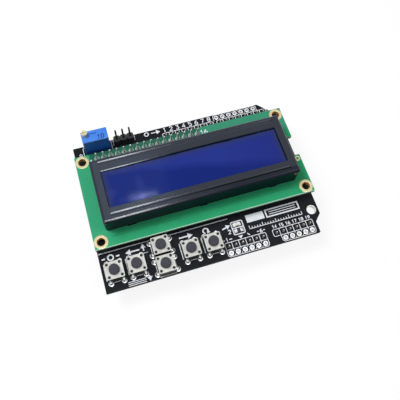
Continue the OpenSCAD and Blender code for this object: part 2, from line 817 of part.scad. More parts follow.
// Three-legged transistor on the shield board
module backlight_transistor() {
    body_l = 2.9;
    body_w = 1.3;
    body_h = 0.95;
    foot_l = 0.55;
    foot_w = 0.4;
    foot_t = 0.15;
    foot_step = 0.95;
    color([0.1, 0.1, 0.1]) translate([transistor_x, ladder_y, z_top]) {
        translate([0, 0, foot_t]) cut_block(body_l, body_w, body_h, body_h / 10);
        for (place = [[-foot_step, -1], [foot_step, -1], [0, 1]])
            translate([place[0], place[1] * (body_w + foot_l) / 2 - place[1] * foot_l / 2, foot_t])
                cube([foot_w, foot_l * 2, 2 * foot_t], center = true);
    }
}

shield_board();
lcd_board();
lcd_bezel();
front_polariser();
front_glass();
rear_glass();
rear_polariser();
light_guide();
backlight_led_bar();
elastomer_strip_front();
elastomer_strip_back();
driver_blobs();
lcd_header_strip();
lcd_header_pins();
for (i = [0 : len(SWITCHES) - 1]) {
    switch_base(i);
    switch_cover(i);
    push_button(i);
}
switch_domes();
switch_legs();
trimmer_housing();
trimmer_base();
trimmer_screw();
trimmer_rotor();
trimmer_element();
trimmer_pins();
jumper_header_strip();
jumper_header_pins();
power_header_strip();
power_header_pins();
analog_header_strip();
analog_header_pins();
low_header_strip();
low_header_pins();
high_header_strip();
high_header_pins();
power_led();
chip_resistors();
chip_capacitors();
backlight_transistor();
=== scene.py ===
import json
import math

import bpy
from mathutils import Euler, Matrix, Vector


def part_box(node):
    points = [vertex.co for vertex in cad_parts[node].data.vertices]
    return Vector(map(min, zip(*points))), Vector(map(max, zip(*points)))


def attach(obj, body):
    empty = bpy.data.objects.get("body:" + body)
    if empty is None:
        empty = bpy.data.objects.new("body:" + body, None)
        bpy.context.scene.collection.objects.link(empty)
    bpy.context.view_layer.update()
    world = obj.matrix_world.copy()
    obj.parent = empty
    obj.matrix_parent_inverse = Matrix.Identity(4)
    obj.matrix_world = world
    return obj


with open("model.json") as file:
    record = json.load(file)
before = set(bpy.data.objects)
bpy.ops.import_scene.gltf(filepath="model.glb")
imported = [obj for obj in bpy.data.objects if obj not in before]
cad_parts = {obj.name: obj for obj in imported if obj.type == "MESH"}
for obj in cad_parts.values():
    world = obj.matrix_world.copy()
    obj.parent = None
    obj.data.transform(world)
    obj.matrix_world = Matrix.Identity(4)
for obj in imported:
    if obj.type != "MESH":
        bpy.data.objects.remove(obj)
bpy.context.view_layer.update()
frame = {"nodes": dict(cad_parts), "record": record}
nodes = frame["nodes"]
scene = bpy.context.scene
scene.view_settings.view_transform = "Standard"
MM = 0.001


# Layout in millimetres, read from the solids and from the record's mounts

def box_mm(node):
    """Lowest and highest corner of a node."""
    lo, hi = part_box(node)
    return lo / MM, hi / MM


def middle(node):
    lo, hi = box_mm(node)
    return (lo + hi) / 2


def mount(name):
    """Place and dimensions of one of the record's mounts."""
    row = next(row for row in frame["record"]["mounts"] if row["name"] == name)
    return Vector(row["pos_m"]) / MM, row["dims"]


def pin_row(node, count):
    """Places of the pins of one straight row along X."""
    lo, hi = box_mm(node)
    half = (hi.y - lo.y) / 2
    step = (hi.x - lo.x - 2 * half) / (count - 1)
    return [(lo.x + half + i * step, lo.y + half) for i in range(count)]


BOARD_LO, BOARD_HI = box_mm("shield_board")
LCD_LO, LCD_HI = box_mm("lcd_board")
BEZEL_LO, BEZEL_HI = box_mm("lcd_bezel")
TRIM_LO, TRIM_HI = box_mm("trimmer_housing")
STRIP_LO, STRIP_HI = box_mm("jumper_header_strip")
LED = middle("power_led")
Z_UNDER, Z_TOP = BOARD_LO.z, BOARD_HI.z
Z_LCD, Z_LCD_TOP = LCD_LO.z, LCD_HI.z

# Pins of the headers and the trimmer
POWER = pin_row("power_header_pins", 6)
ANALOG = pin_row("analog_header_pins", 6)
LOW = pin_row("low_header_pins", 8)
HIGH = pin_row("high_header_pins", 8)
PLUG_ROWS = (POWER, ANALOG, HIGH, LOW)
PLUG_PINS = POWER + ANALOG + LOW + HIGH
LCD_PINS = pin_row("lcd_header_pins", 16)
JUMPER = pin_row("jumper_header_pins", 3)
TRIM_PINS = pin_row("trimmer_pins", 3)
PITCH = LCD_PINS[1][0] - LCD_PINS[0][0]
HALF_PITCH = PITCH / 2

# Spare pads in a second row beside three of the plug headers
SPARE_SHIFT = 3.5
SPARE_BACK_COUNT = 7
SPARE_POWER = [(x, y - PITCH) for x, y in POWER]
SPARE_ANALOG = [(x, y - PITCH) for x, y in ANALOG[1:]]
SPARE_BACK = [(LOW[-1][0] - SPARE_SHIFT - i * PITCH, LOW[0][1] + PITCH) for i in range(SPARE_BACK_COUNT)]
SPARE = SPARE_POWER + SPARE_ANALOG + SPARE_BACK

# Switches: four in a row with legs in front and behind, and a pair that is turned
ROW_SWITCHES = ["select", "left", "right", "reset"]
TURNED_SWITCHES = ["up", "down"]
SWITCH_AT = {name: middle(name + "_switch_base").xy for name in ROW_SWITCHES + TURNED_SWITCHES}
LEG_OUT = 3.6
LEG_SIDE = 2.25


def beside(name, dx, dy):
    """A place given from the middle of a switch."""
    return (SWITCH_AT[name].x + dx, SWITCH_AT[name].y + dy)


def towards_legs(name, out, side):
    """A place given from the middle of a switch: out to its legs at the back or right, and to a side."""
    if name in TURNED_SWITCHES:
        return beside(name, out, side)
    return beside(name, side, out)


# Legs behind the switches of the row are hidden by them in the usual view
SHOWN_LEGS = []
HIDDEN_LEGS = []
for switch in SWITCH_AT:
    for out in (-LEG_OUT, LEG_OUT):
        behind = switch in ROW_SWITCHES and out > 0
        places = HIDDEN_LEGS if behind else SHOWN_LEGS
        places += [towards_legs(switch, out, side) for side in (-LEG_SIDE, LEG_SIDE)]

# Holes that the record states as mounts
pattern_at, pattern = mount("display_holes")
HOLE_R = pattern["hole_r_mm"]
half_x = pattern["spacing_x_mm"] / 2
half_y = pattern["spacing_y_mm"] / 2
LCD_HOLES = [(pattern_at.x + dx, pattern_at.y + dy) for dx in (-half_x, half_x) for dy in (-half_y, half_y)]
hole_at, hole = mount("board_hole")
MOUNT_HOLE = (hole_at.x, hole_at.y)
MOUNT_HOLE_R = hole["r_mm"]

# Bezel: its front groove, its window, and the rolled edge at the back of the window
GROOVE_IN = 2.4
GROOVE_Y = BEZEL_LO.y + GROOVE_IN
WINDOW_SIDE = 3.1
WINDOW_END = 4.8
WINDOW_LEFT = BEZEL_LO.x + WINDOW_SIDE
WINDOW_RIGHT = BEZEL_HI.x - WINDOW_SIDE
WINDOW_BACK = BEZEL_HI.y - WINDOW_END
LIP_W = 0.27
LIP_DROP = 0.14
LIP_H = 0.48


# Mesh building

# The least cosine at a mitre keeps sharp bends short
MITRE_LEAST = 0.5
NEARLY_ZERO = 1e-6


def rectangle(x0, y0, x1, y1):
    """Corners of a rectangle, anticlockwise."""
    return [(x0, y0), (x1, y0), (x1, y1), (x0, y1)]


def skin(rows, size, closed=False):
    """Faces round a solid made of equal rows of vertices, with ends where it does not close on itself.

    Each row runs clockwise as seen from the end of the solid.
    """
    bands = rows if closed else rows - 1
    faces = []
    for i in range(bands):
        here, there = i * size, (i + 1) % rows * size
        faces += [[here + k, there + k, there + (k + 1) % size, here + (k + 1) % size] for k in range(size)]
    if not closed:
        faces += [list(range(size)), list(range(bands * size, rows * size))[::-1]]
    return faces


class Build:
    """Collects closed solids in millimetres and makes one object of them."""

    def __init__(self):
        self.verts = []
        self.faces = []
        self.slots = []
        self.slot = 0

    def add(self, verts, faces):
        first = len(self.verts)
        self.verts += [tuple(c * MM for c in point) for point in verts]
        self.faces += [[i + first for i in face] for face in faces]
        self.slots += [self.slot] * len(faces)

    def prism(self, outline, low, high):
        """Upright prism on an outline that runs anticlockwise."""
        verts = [(x, y, z) for z in (high, low) for x, y in outline]
        self.add(verts, skin(2, len(outline)))

    def stroke(self, points, width, low, high, closed, rise):
        """Flat band of one width along a line of points, mitred at the bends.

        Its outer face, the upper one or with a negative rise the lower one, moves out by the rise at
        each point, so that a band that crosses itself has no doubled face.
        """
        points = [Vector(point) for point in points]
        count = len(points)
        ways = [(points[(i + 1) % count] - points[i]).normalized() for i in range(count)]
        verts = []
        for i, point in enumerate(points):
            way_in = ways[i - 1] if closed or i > 0 else ways[0]
            way_out = ways[i] if closed or i < count - 1 else way_in
            across = Vector((-way_in.y, way_in.x))
            mitre = across + Vector((-way_out.y, way_out.x))
            mitre = mitre.normalized() if mitre.length > NEARLY_ZERO else across
            reach = mitre * (width / 2) / max(mitre.dot(across), MITRE_LEAST)
            left, right = point + reach, point - reach
            z0 = low + i * min(rise, 0.0)
            z1 = high + i * max(rise, 0.0)
            corners = ((left, z0), (right, z0), (right, z1), (left, z1))
            verts += [(corner.x, corner.y, z) for corner, z in corners]
        self.add(verts, skin(count, len(corners), closed))

    def lathe(self, at, profile, count, up=1, z=0.0):
        """Ring about an upright axis from a closed profile of (radius, height)."""
        verts = []
        for i in range(count):
            turn = 2 * math.pi * i / count
            c = math.cos(turn)
            s = math.sin(turn)
            verts += [(at[0] + r * c, at[1] + r * s, z + up * h) for r, h in profile]
        faces = skin(count, len(profile), closed=True)
        self.add(verts, faces if up > 0 else [face[::-1] for face in faces])

    def bar(self, left, right, profile):
        """Bar along X from a profile of (y, z), listed clockwise as seen from its right end."""
        verts = [(x, y, z) for x in (left, right) for y, z in profile]
        self.add(verts, skin(2, len(profile)))

    def make(self, name, finishes, slot, angle=40):
        """One object that moves with the module, smooth where its faces meet at less than the angle."""
        mesh = bpy.data.meshes.new(name)
        mesh.from_pydata(self.verts, [], self.faces)
        mesh.validate()
        for finish in finishes:
            mesh.materials.append(MATERIALS[finish])
        mesh.polygons.foreach_set("material_index", self.slots)
        mesh.shade_smooth()
        mesh.set_sharp_from_angle(angle=math.radians(angle))
        piece = bpy.data.objects.new(name, mesh)
        scene.collection.objects.link(piece)
        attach(piece, "module")


# Shader nodes

WHITE = (1.0, 1.0, 1.0, 1.0)


def put(tree, value, socket):
    """Links an output to a socket, or sets a constant on it."""
    if isinstance(value, bpy.types.NodeSocket):
        tree.links.new(value, socket)
    else:
        socket.default_value = value


def add_node(tree, kind, inputs=(), **settings):
    """New shader node with its settings and its inputs, which are outputs of other nodes or constants."""
    made = tree.nodes.new("ShaderNode" + kind)
    for key, value in settings.items():
        setattr(made, key, value)
    for key, value in dict(inputs).items():
        put(tree, value, made.inputs[key])
    return made


# Materials

NOISE_ROUGHNESS = 0.55
DETAIL = 4.0
SOFT_DETAIL = 3.0
GLOSS_GRAIN = 1.7
FINE_BUMP = 1e-5
UPRIGHT = 0.5
MATERIALS = {}


def lin(r, g, b):
    """Linear colour from display values of 0 to 255."""
    def one(value):
        value /= 255.0
        return value / 12.92 if value <= 0.04045 else ((value + 0.055) / 1.055) ** 2.4
    return (one(r), one(g), one(b), 1.0)


class Mat:
    """A procedural material, kept under its name: a principled shader and helpers that link nodes into it."""

    def __init__(self, name, **constants):
        material = bpy.data.materials.new(name)
        material.use_nodes = True
        MATERIALS[name] = material
        self.tree = material.node_tree
        self.shader = self.tree.nodes["Principled BSDF"]
        self.place = self.node("TexCoord").outputs["Object"]
        for key, value in constants.items():
            self.set(key.replace("_", " "), value)

    def set(self, name, value):
        """Gives an input of the shader a constant or the output of a node."""
        put(self.tree, value, self.shader.inputs[name])

    def node(self, kind, inputs=(), **settings):
        return add_node(self.tree, kind, inputs, **settings)

    def noise(self, scale, detail=DETAIL, stretch=None):
        place = self.place
        if stretch:
            place = self.node("Mapping", {"Vector": place, "Scale": stretch}).outputs["Vector"]
        inputs = {"Vector": place, "Scale": scale, "Detail": detail, "Roughness": NOISE_ROUGHNESS}
        return self.node("TexNoise", inputs).outputs["Fac"]

    def ramp(self, value, low, high, start=0.3, end=0.7):
        """Colour that goes from low to high as the value goes from start to end."""
        made = self.node("ValToRGB", {"Fac": value})
        for stop, position, colour in zip(made.color_ramp.elements, (start, end), (low, high)):
            stop.position = position
            stop.color = colour
        return made.outputs["Color"]

    def span(self, value, low, high, start=0.3, end=0.7):
        """Number that goes from low to high as the value goes from start to end, and stays inside them."""
        inputs = {"Value": value, "From Min": start, "From Max": end, "To Min": low, "To Max": high}
        return self.node("MapRange", inputs).outputs["Result"]

    def step(self, value, edge, soft):
        """0 before an edge in millimetres and 1 after it, or the other way with a negative softness."""
        return self.span(value, 0.0, 1.0, (edge - soft) * MM, (edge + soft) * MM)

    def mix(self, factor, first, second):
        made = self.node("Mix", {"Factor": factor}, data_type="RGBA")
        colours = [socket for socket in made.inputs if socket.type == "RGBA"]
        put(self.tree, first, colours[0])
        put(self.tree, second, colours[1])
        return next(socket for socket in made.outputs if socket.type == "RGBA")

    def math(self, operation, first, second=0.0):
        return self.node("Math", {0: first, 1: second}, operation=operation).outputs["Value"]

    def fold(self, operation, first, *others):
        """Joins several values with one operation."""
        for other in others:
            first = self.math(operation, first, other)
        return first

    def xyz(self, vector=None):
        return self.node("SeparateXYZ", {"Vector": vector or self.place}).outputs

    def normal_z(self, kind):
        """How far a face looks up, with or without the smooth shading."""
        return self.xyz(self.node("NewGeometry").outputs[kind])["Z"]

    def side(self):
        """1 on upright faces, 0 on flat ones."""
        return self.math("LESS_THAN", self.math("ABSOLUTE", self.normal_z("True Normal")), UPRIGHT)

    def blob(self, x, y, half_w, half_d):
        """1 at a place in millimetres, falling to 0 at the rim of an ellipse round it."""
        at = self.xyz()
        squares = []
        for axis, centre, half in (("X", x, half_w), ("Y", y, half_d)):
            off = self.math("MULTIPLY", self.math("SUBTRACT", at[axis], centre * MM), 1 / (half * MM))
            squares.append(self.math("MULTIPLY", off, off))
        return self.span(self.fold("ADD", *squares), 1.0, 0.0, 0.0, 1.0)

    def bump(self, height, depth, strength=1.0):
        made = self.node("Bump", {"Strength": strength, "Distance": depth, "Height": height})
        self.set("Normal", made.outputs["Normal"])


def varied(name, low, high, grain, rough, bump, depth=FINE_BUMP, stretch=None, metal=0.0, shine=0.5):
    """Material whose colour and gloss wander between two values, with a bump of a scale and a depth."""
    mat = Mat(name, Metallic=metal, Specular_IOR_Level=shine)
    mat.set("Base Color", mat.ramp(mat.noise(grain, stretch=stretch), lin(*low), lin(*high)))
    mat.set("Roughness", mat.span(mat.noise(grain * GLOSS_GRAIN, SOFT_DETAIL, stretch), *rough))
    mat.bump(mat.noise(bump, SOFT_DETAIL, stretch), depth)


def board_material(name, mask, edge_shade_and_light, heights, rough, fields=()):
    """Solder mask on the faces, and on the cut edge a paler upper half over a darker lower half, which are
    painted highlight and shade.

    A field is a colour, a rectangle in millimetres and the softness of its border, for a place of another
    colour; on the display board most fields are painted light and shade.
    """
    edge_dullness = 0.3
    mat = Mat(name, Specular_IOR_Level=0.12)
    at = mat.xyz()
    face = mat.ramp(mat.noise(60, detail=5.0), lin(*mask[0]), lin(*mask[1]))
    for colour, (x0, y0, x1, y1), soft in fields:
        inside = mat.fold("MULTIPLY", mat.step(at["X"], x0, soft), mat.step(at["Y"], y0, soft),
                          mat.step(at["X"], x1, -soft), mat.step(at["Y"], y1, -soft))
        face = mat.mix(inside, face, lin(*colour))
    # Cut edge: the pale upper half is painted highlight, the dark lower half painted shade
    dark, pale = lin(*edge_shade_and_light[0]), lin(*edge_shade_and_light[1])
    height = mat.span(at["Z"], 0.0, 1.0, heights[0] * MM, heights[1] * MM)
    lit_and_shaded_edge = mat.ramp(height, dark, pale, start=0.42, end=0.58)
    fibres = mat.span(mat.noise(900, SOFT_DETAIL, stretch=(0.15, 0.15, 3.0)), 0.0, 0.35)
    side = mat.side()
    mat.set("Base Color", mat.mix(side, face, mat.mix(fibres, lit_and_shaded_edge, dark)))
    gloss = mat.span(mat.noise(180, SOFT_DETAIL), *rough)
    mat.set("Roughness", mat.math("ADD", gloss, mat.math("MULTIPLY", side, edge_dullness)))
    mat.bump(mat.noise(1400, detail=2.0), 2e-5, strength=0.6)


def bezel_material():
    """Satin paint with painted shade: its reflection is turned down on the bends and walls, and towards the
    right along the front band, the groove and the rolled edge of the window. A near-black line in the groove,
    growing to the right, is painted shade.
    """
    mat = Mat("bezel_paint")
    at = mat.xyz()

    def stripe(y, half, soft, left, right, most):
        """A line of painted shade along X as long as the window, whose strength grows from left to right."""
        off = mat.math("ABSOLUTE", mat.math("SUBTRACT", at["Y"], y * MM))
        inside = mat.math("LESS_THAN", mat.math("ABSOLUTE", at["X"]), WINDOW_RIGHT * MM)
        fade = mat.span(at["X"], 0.0, most, left * MM, right * MM)
        return mat.fold("MULTIPLY", mat.step(off, half, -soft), inside, fade)

    groove_front = GROOVE_Y - 0.3
    # Painted shade: a dark line in the groove, growing towards the right
    groove = stripe(groove_front, half=0.32, soft=0.12, left=-20, right=4, most=1.0)
    # Painted shade: reflection turned down on the rolled edge at the back of the window, growing towards the
    # right
    lip_shade = stripe(WINDOW_BACK - LIP_W / 2, half=LIP_W / 2, soft=0.01, left=-25, right=-8, most=0.95)
    # Painted shade: reflection turned down along the front band, growing towards the right
    front = mat.math("MULTIPLY", mat.span(at["Y"], 1.0, 0.0, groove_front * MM, GROOVE_Y * MM),
                     mat.span(at["X"], 0.0, 0.55, start=-14 * MM, end=10 * MM))
    paint = mat.ramp(mat.noise(120), lin(4, 17, 34), lin(9, 24, 46))
    # The groove's near-black colour is painted shade
    mat.set("Base Color", mat.mix(groove, paint, lin(2, 5, 9)))
    painted_shade = mat.fold("MAXIMUM", front, groove, lip_shade)
    # Reflection turned down where the sheet bends down or stands upright: painted shade
    flat = mat.math("POWER", mat.math("MAXIMUM", mat.normal_z("Normal"), 0.0), 2.0)
    shine = mat.math("MULTIPLY", flat, mat.math("SUBTRACT", 1.0, painted_shade))
    mat.set("Specular IOR Level", mat.span(shine, 0.07, 0.5, 0.0, 1.0))
    mat.set("Roughness", mat.span(mat.noise(200, SOFT_DETAIL), 0.13, 0.2))
    mat.bump(mat.noise(3200, SOFT_DETAIL), 6e-6)


# Painted glare on the display, standing in for reflections: place from its middle, half width, half depth,
# strength and tint
PALE_GLARE = lin(46, 60, 142)
BRIGHT_GLARE = lin(116, 116, 204)
PAINTED_GLARES = (
    (-21.5, -5.6, 8.5, 2.0, 0.4, PALE_GLARE),
    (-20.0, -2.6, 2.0, 6.0, 0.35, PALE_GLARE),
    (-31.0, -2.0, 3.5, 2.4, 0.45, PALE_GLARE),
    (-21.0, -5.9, 3.6, 0.9, 0.25, BRIGHT_GLARE),
    (-20.3, -5.7, 1.6, 1.5, 0.3, BRIGHT_GLARE),
)


def display_material():
    """Blue film over the cell, with painted light: a paler field to the back and pale patches at the left are
    painted reflections, a greyer band at the window's edge is painted light, and the dark rim is partly the
    cell's black border and partly painted shade of the bezel.
    """
    cloud_depth = 0.8 * MM
    glare_field_slant = 0.22
    glare_field_soft = 1.6
    rim_wander = 0.2 * MM
    mat = Mat("display_blue", Specular_IOR_Level=0.12)
    centre = (BEZEL_LO + BEZEL_HI) / 2
    at = mat.xyz()
    x = mat.math("SUBTRACT", at["X"], centre.x * MM)
    y = mat.math("SUBTRACT", at["Y"], centre.y * MM)
    # The paler field to the back, slanted and wandering, is a painted reflection
    cloud = mat.span(mat.noise(70, SOFT_DETAIL), -cloud_depth, cloud_depth)
    slope = mat.fold("ADD", y, mat.math("MULTIPLY", x, glare_field_slant), cloud)
    film = mat.mix(mat.step(slope, 0.0, glare_field_soft), lin(6, 33, 119), lin(30, 48, 140))
    to_right = mat.span(x, 0.0, 0.55, start=10 * MM, end=30 * MM)
    film = mat.mix(to_right, film, lin(26, 38, 124))
    # Pale patches at the left: painted reflection
    for dx, dy, half_w, half_d, strength, tint in PAINTED_GLARES:
        painted_glare = mat.blob(centre.x + dx, centre.y + dy, half_w, half_d)
        film = mat.mix(mat.math("MULTIPLY", painted_glare, strength), film, tint)
    from_side = mat.math("SUBTRACT", WINDOW_RIGHT * MM, mat.math("ABSOLUTE", at["X"]))
    from_back = mat.math("SUBTRACT", (WINDOW_BACK - LIP_W) * MM, at["Y"])
    wander = mat.span(mat.noise(300, detail=2.0), -rim_wander, rim_wander)
    rim = mat.math("ADD", mat.math("MINIMUM", from_side, from_back), wander)
    # A greyer band inside the window's edge: painted light
    painted_edge_light = mat.span(rim, 0.7, 0.0, start=0.6 * MM, end=2.6 * MM)
    film = mat.mix(painted_edge_light, film, lin(44, 54, 96))
    # Dark rim: partly the cell's black border, partly painted shade of the bezel
    border_and_shade = mat.span(rim, 1.0, 0.0, start=0.1 * MM, end=0.6 * MM)
    mat.set("Base Color", mat.mix(border_and_shade, film, lin(8, 14, 40)))
    mat.set("Roughness", mat.span(mat.noise(90, SOFT_DETAIL), 0.05, 0.08))


def trimmer_material():
    """Blue plastic with painted light and shade: a paler colour on the upward faces and a darker one on the
    walls.
    """
    mat = Mat("trimmer_plastic", Specular_IOR_Level=0.35)
    cloud = mat.noise(260)
    top = mat.ramp(cloud, lin(60, 124, 222), lin(76, 142, 238))
    wall = mat.ramp(cloud, lin(26, 92, 182), lin(36, 106, 200))
    # Paler upward faces and darker walls: painted light and shade
    mat.set("Base Color", mat.mix(mat.side(), top, wall))
    mat.set("Roughness", mat.span(mat.noise(440, SOFT_DETAIL), 0.35, 0.5))
    mat.bump(mat.noise(2600, SOFT_DETAIL), 1.5e-5)


def glass_material():
    """Clear glass with a faint green tint."""
    mat = Mat("display_glass", IOR=1.5, Transmission_Weight=0.85)
    mat.set("Base Color", mat.ramp(mat.noise(200), lin(196, 214, 212), lin(212, 226, 224)))
    mat.set("Roughness", mat.span(mat.noise(400), 0.05, 0.12))


# Fields of the display board: a paler left strip that is painted light, a greyer back strip, a darker field
# at the pins that is painted shade, and a pale front margin that is painted highlight
OUTSIDE = 5
LIT_STRIP_END = BEZEL_LO.x + 2
PIN_FIELD_LEFT = LCD_PINS[0][0] - 2.6
PIN_FIELD_RIGHT = LCD_PINS[-1][0] + 1.2
PIN_FIELD_FRONT = BEZEL_HI.y - 3
LIT_EDGE_BACK = LCD_LO.y + 0.22
AROUND_LO = (LCD_LO.x - OUTSIDE, LCD_LO.y - OUTSIDE)
AROUND_HI = (LCD_HI.x + OUTSIDE, LCD_HI.y + OUTSIDE)
LCD_FIELDS = (
    # Painted light on the left strip
    ((58, 170, 122), (*AROUND_LO, LIT_STRIP_END, AROUND_HI[1]), 3.0),
    ((62, 150, 118), (PIN_FIELD_RIGHT, PIN_FIELD_FRONT, *AROUND_HI), 0.3),
    # Painted shade among the joints at the pins
    ((40, 100, 80), (PIN_FIELD_LEFT, PIN_FIELD_FRONT, PIN_FIELD_RIGHT, AROUND_HI[1]), 0.3),
    # Painted highlight along the front edge
    ((186, 234, 206), (*AROUND_LO, AROUND_HI[0], LIT_EDGE_BACK), 0.05),
)

board_material("shield_solder_mask", mask=((13, 15, 20), (20, 22, 29)), edge_shade_and_light=((30, 29, 28), (52, 49, 46)),
               heights=(Z_UNDER, Z_TOP), rough=(0.34, 0.44))
board_material("lcd_solder_mask", mask=((38, 156, 104), (50, 170, 116)), edge_shade_and_light=((24, 70, 52), (214, 240, 226)),
               heights=(Z_LCD, Z_LCD_TOP), rough=(0.26, 0.36), fields=LCD_FIELDS)
bezel_material()
display_material()
glass_material()
trimmer_material()

# Stretch of a grain that has a direction
LAYERED = (6.0, 1.0, 1.0)
ROLLED = (1.0, 0.15, 1.0)
DRAWN = (1.0, 1.0, 0.2)
TURNED = (1.0, 1.0, 4.0)

# Varied finishes: name, two colours in display values, grain, range of roughness, scale of the bump
varied("masked_track", (22, 25, 31), (31, 33, 40), 160, (0.3, 0.4), 1400, shine=0.14)
varied("green_masked_track", (25, 139, 90), (36, 152, 102), 160, (0.26, 0.36), 1400, shine=0.14)
varied("white_ink", (222, 228, 236), (246, 249, 252), 1500, (0.55, 0.75), 3800, shine=0.3)
varied("trimmer_ink", (8, 34, 112), (14, 44, 132), 900, (0.5, 0.65), 2600)

# Inside the display
varied("milky_acrylic", (222, 228, 232), (240, 244, 246), 300, (0.25, 0.4), 1500)
varied("led_board", (214, 212, 190), (236, 234, 214), 700, (0.4, 0.6), 2200)
varied("elastomer_rubber", (206, 132, 140), (226, 156, 162), 600, (0.6, 0.75), 2200, depth=2e-5,
       stretch=LAYERED)
varied("driver_epoxy", (18, 18, 18), (32, 31, 30), 300, (0.15, 0.35), 900, depth=4e-5)

# Plastics, resins and ceramics
varied("header_plastic", (42, 41, 44), (58, 56, 60), 700, (0.45, 0.6), 3000, depth=1.2e-5, shine=0.3)
varied("switch_base_plastic", (22, 22, 23), (34, 33, 33), 900, (0.45, 0.6), 3500, depth=1.2e-5, shine=0.3)
varied("button_plastic", (50, 50, 58), (64, 63, 72), 800, (0.5, 0.65), 3500, depth=2e-5, shine=0.3)
varied("trimmer_resin", (22, 40, 84), (34, 56, 104), 500, (0.4, 0.6), 1800, depth=3e-5)
varied("rotor_plastic", (214, 212, 200), (232, 230, 220), 500, (0.45, 0.6), 2400)
varied("ceramic", (226, 224, 214), (242, 240, 232), 500, (0.5, 0.7), 2400)
varied("chip_body", (26, 26, 28), (42, 41, 42), 1200, (0.35, 0.55), 3000)
varied("capacitor_body", (150, 122, 92), (176, 148, 116), 1200, (0.45, 0.6), 3000)
varied("led_resin", (222, 224, 212), (244, 245, 234), 900, (0.15, 0.3), 2400)

# Metals
varied("switch_cover_steel", (180, 179, 173), (206, 205, 199), 700, (0.42, 0.55), 2600, depth=8e-6,
       stretch=ROLLED, metal=0.5)
varied("spring_steel", (170, 170, 172), (206, 206, 208), 900, (0.2, 0.35), 2500, metal=1.0)
varied("tinned_pins", (196, 192, 180), (226, 222, 212), 900, (0.25, 0.38), 2500, stretch=DRAWN, metal=1.0)
varied("dark_pins", (52, 48, 46), (84, 78, 72), 900, (0.3, 0.45), 2500, stretch=DRAWN, metal=0.9)
varied("silvered_legs", (190, 190, 186), (222, 222, 216), 900, (0.28, 0.42), 2500, metal=1.0)
varied("turned_brass", (200, 190, 152), (228, 220, 190), 900, (0.28, 0.42), 2500, stretch=TURNED, metal=0.6)
varied("gold_plating", (198, 188, 142), (218, 210, 168), 600, (0.34, 0.48), 2600, metal=0.45)
varied("plated_bore", (190, 142, 74), (222, 176, 104), 900, (0.4, 0.55), 2600, metal=0.15)
varied("tinned_pads", (200, 202, 202), (236, 238, 237), 900, (0.3, 0.45), 2600, depth=2e-5, metal=0.7)
varied("solder_joints", (206, 208, 208), (236, 238, 236), 1100, (0.1, 0.2), 2800, metal=1.0)
# Near-white, less metallic solder for the display's pins: real solder colour partly replaced by painted
# highlight
varied("solder_painted_bright", (236, 242, 240), (250, 253, 252), 1100, (0.22, 0.36), 2800, depth=2e-5, metal=0.35,
       shine=1.0)
varied("dull_solder", (64, 66, 70), (108, 110, 114), 1100, (0.4, 0.6), 2800, depth=2e-5, metal=0.8)

FINISH = {
    "shield_board": "shield_solder_mask", "lcd_board": "lcd_solder_mask", "lcd_bezel": "bezel_paint",
    "light_guide": "milky_acrylic", "backlight_led_bar": "led_board", "driver_blobs": "driver_epoxy",
    "elastomer_strip_front": "elastomer_rubber", "elastomer_strip_back": "elastomer_rubber",
    "switch_domes": "spring_steel", "switch_legs": "silvered_legs", "trimmer_housing": "trimmer_plastic",
    "trimmer_base": "trimmer_resin", "trimmer_screw": "turned_brass", "trimmer_rotor": "rotor_plastic",
    "trimmer_element": "ceramic", "trimmer_pins": "silvered_legs", "power_led": "led_resin",
    "chip_resistors": "chip_body", "chip_capacitors": "capacitor_body", "backlight_transistor": "chip_body",
    "jumper_header_pins": "dark_pins", "lcd_header_pins": "solder_painted_bright",
}
FINISH_BY_ENDING = {
    "_polariser": "display_blue", "_glass": "display_glass", "_header_strip": "header_plastic",
    "_header_pins": "tinned_pins", "_switch_base": "switch_base_plastic", "_button": "button_plastic",
    "_switch_cover": "switch_cover_steel",
}


def finish_of(name):
    if name in FINISH:
        return FINISH[name]
    return next(finish for ending, finish in FINISH_BY_ENDING.items() if name.endswith(ending))


for name, solid in nodes.items():
    solid.data.materials.clear()
    solid.data.materials.append(MATERIALS[finish_of(name)])


# Print: flat marks on one face of a board

INK_T = 0.03
LAYER_T = 0.0015
LAYERS = 7
RISE = 0.0004
LETTER_STEP = 0.9
LETTER_GAP = 0.3
SHORT_HEAD = 1.5
HEAD_HALF = 0.62
HEAD_OVERLAP = 0.2

# Widths of line
FINE = 0.17
LINE = 0.24
SMALL = 0.27
MEDIUM = 0.33
BOLD = 0.36
HEAVY = 0.5

# Strokes of the digits in a cell of this width and a height of 1, where a nine is a six turned round
DIGIT_W = 0.6
DIGITS = {
    "0": [(0.15, 0), (0.45, 0), (0.6, 0.2), (0.6, 0.8), (0.45, 1), (0.15, 1), (0, 0.8), (0, 0.2), (0.15, 0)],
    "1": [(0.1, 0.78), (0.33, 1), (0.33, 0)],
    "2": [(0, 0.82), (0.15, 1), (0.45, 1), (0.6, 0.84), (0.6, 0.64), (0, 0), (0.6, 0)],
    "3": [(0, 1), (0.6, 1), (0.28, 0.6), (0.6, 0.4), (0.6, 0.15), (0.45, 0), (0.12, 0), (0, 0.12)],
    "4": [(0.45, 0), (0.45, 1), (0, 0.32), (0.62, 0.32)],
    "5": [(0.58, 1), (0.05, 1), (0.02, 0.56), (0.42, 0.6), (0.6, 0.42), (0.6, 0.16), (0.45, 0), (0.1, 0),
          (0, 0.1)],
    "6": [(0.5, 1), (0.15, 0.78), (0, 0.42), (0, 0.15), (0.15, 0), (0.45, 0), (0.6, 0.15), (0.6, 0.4),
          (0.45, 0.55), (0.15, 0.55), (0.02, 0.44)],
    "7": [(0, 1), (0.6, 1), (0.22, 0)],
    "8": [(0.15, 0.54), (0, 0.7), (0, 0.86), (0.15, 1), (0.45, 1), (0.6, 0.86), (0.6, 0.7), (0.45, 0.54),
          (0.15, 0.54), (0, 0.38), (0, 0.15), (0.15, 0), (0.45, 0), (0.6, 0.15), (0.6, 0.38), (0.45, 0.54)],
}
DIGITS["9"] = [(DIGIT_W - u, 1 - v) for u, v in DIGITS["6"]]


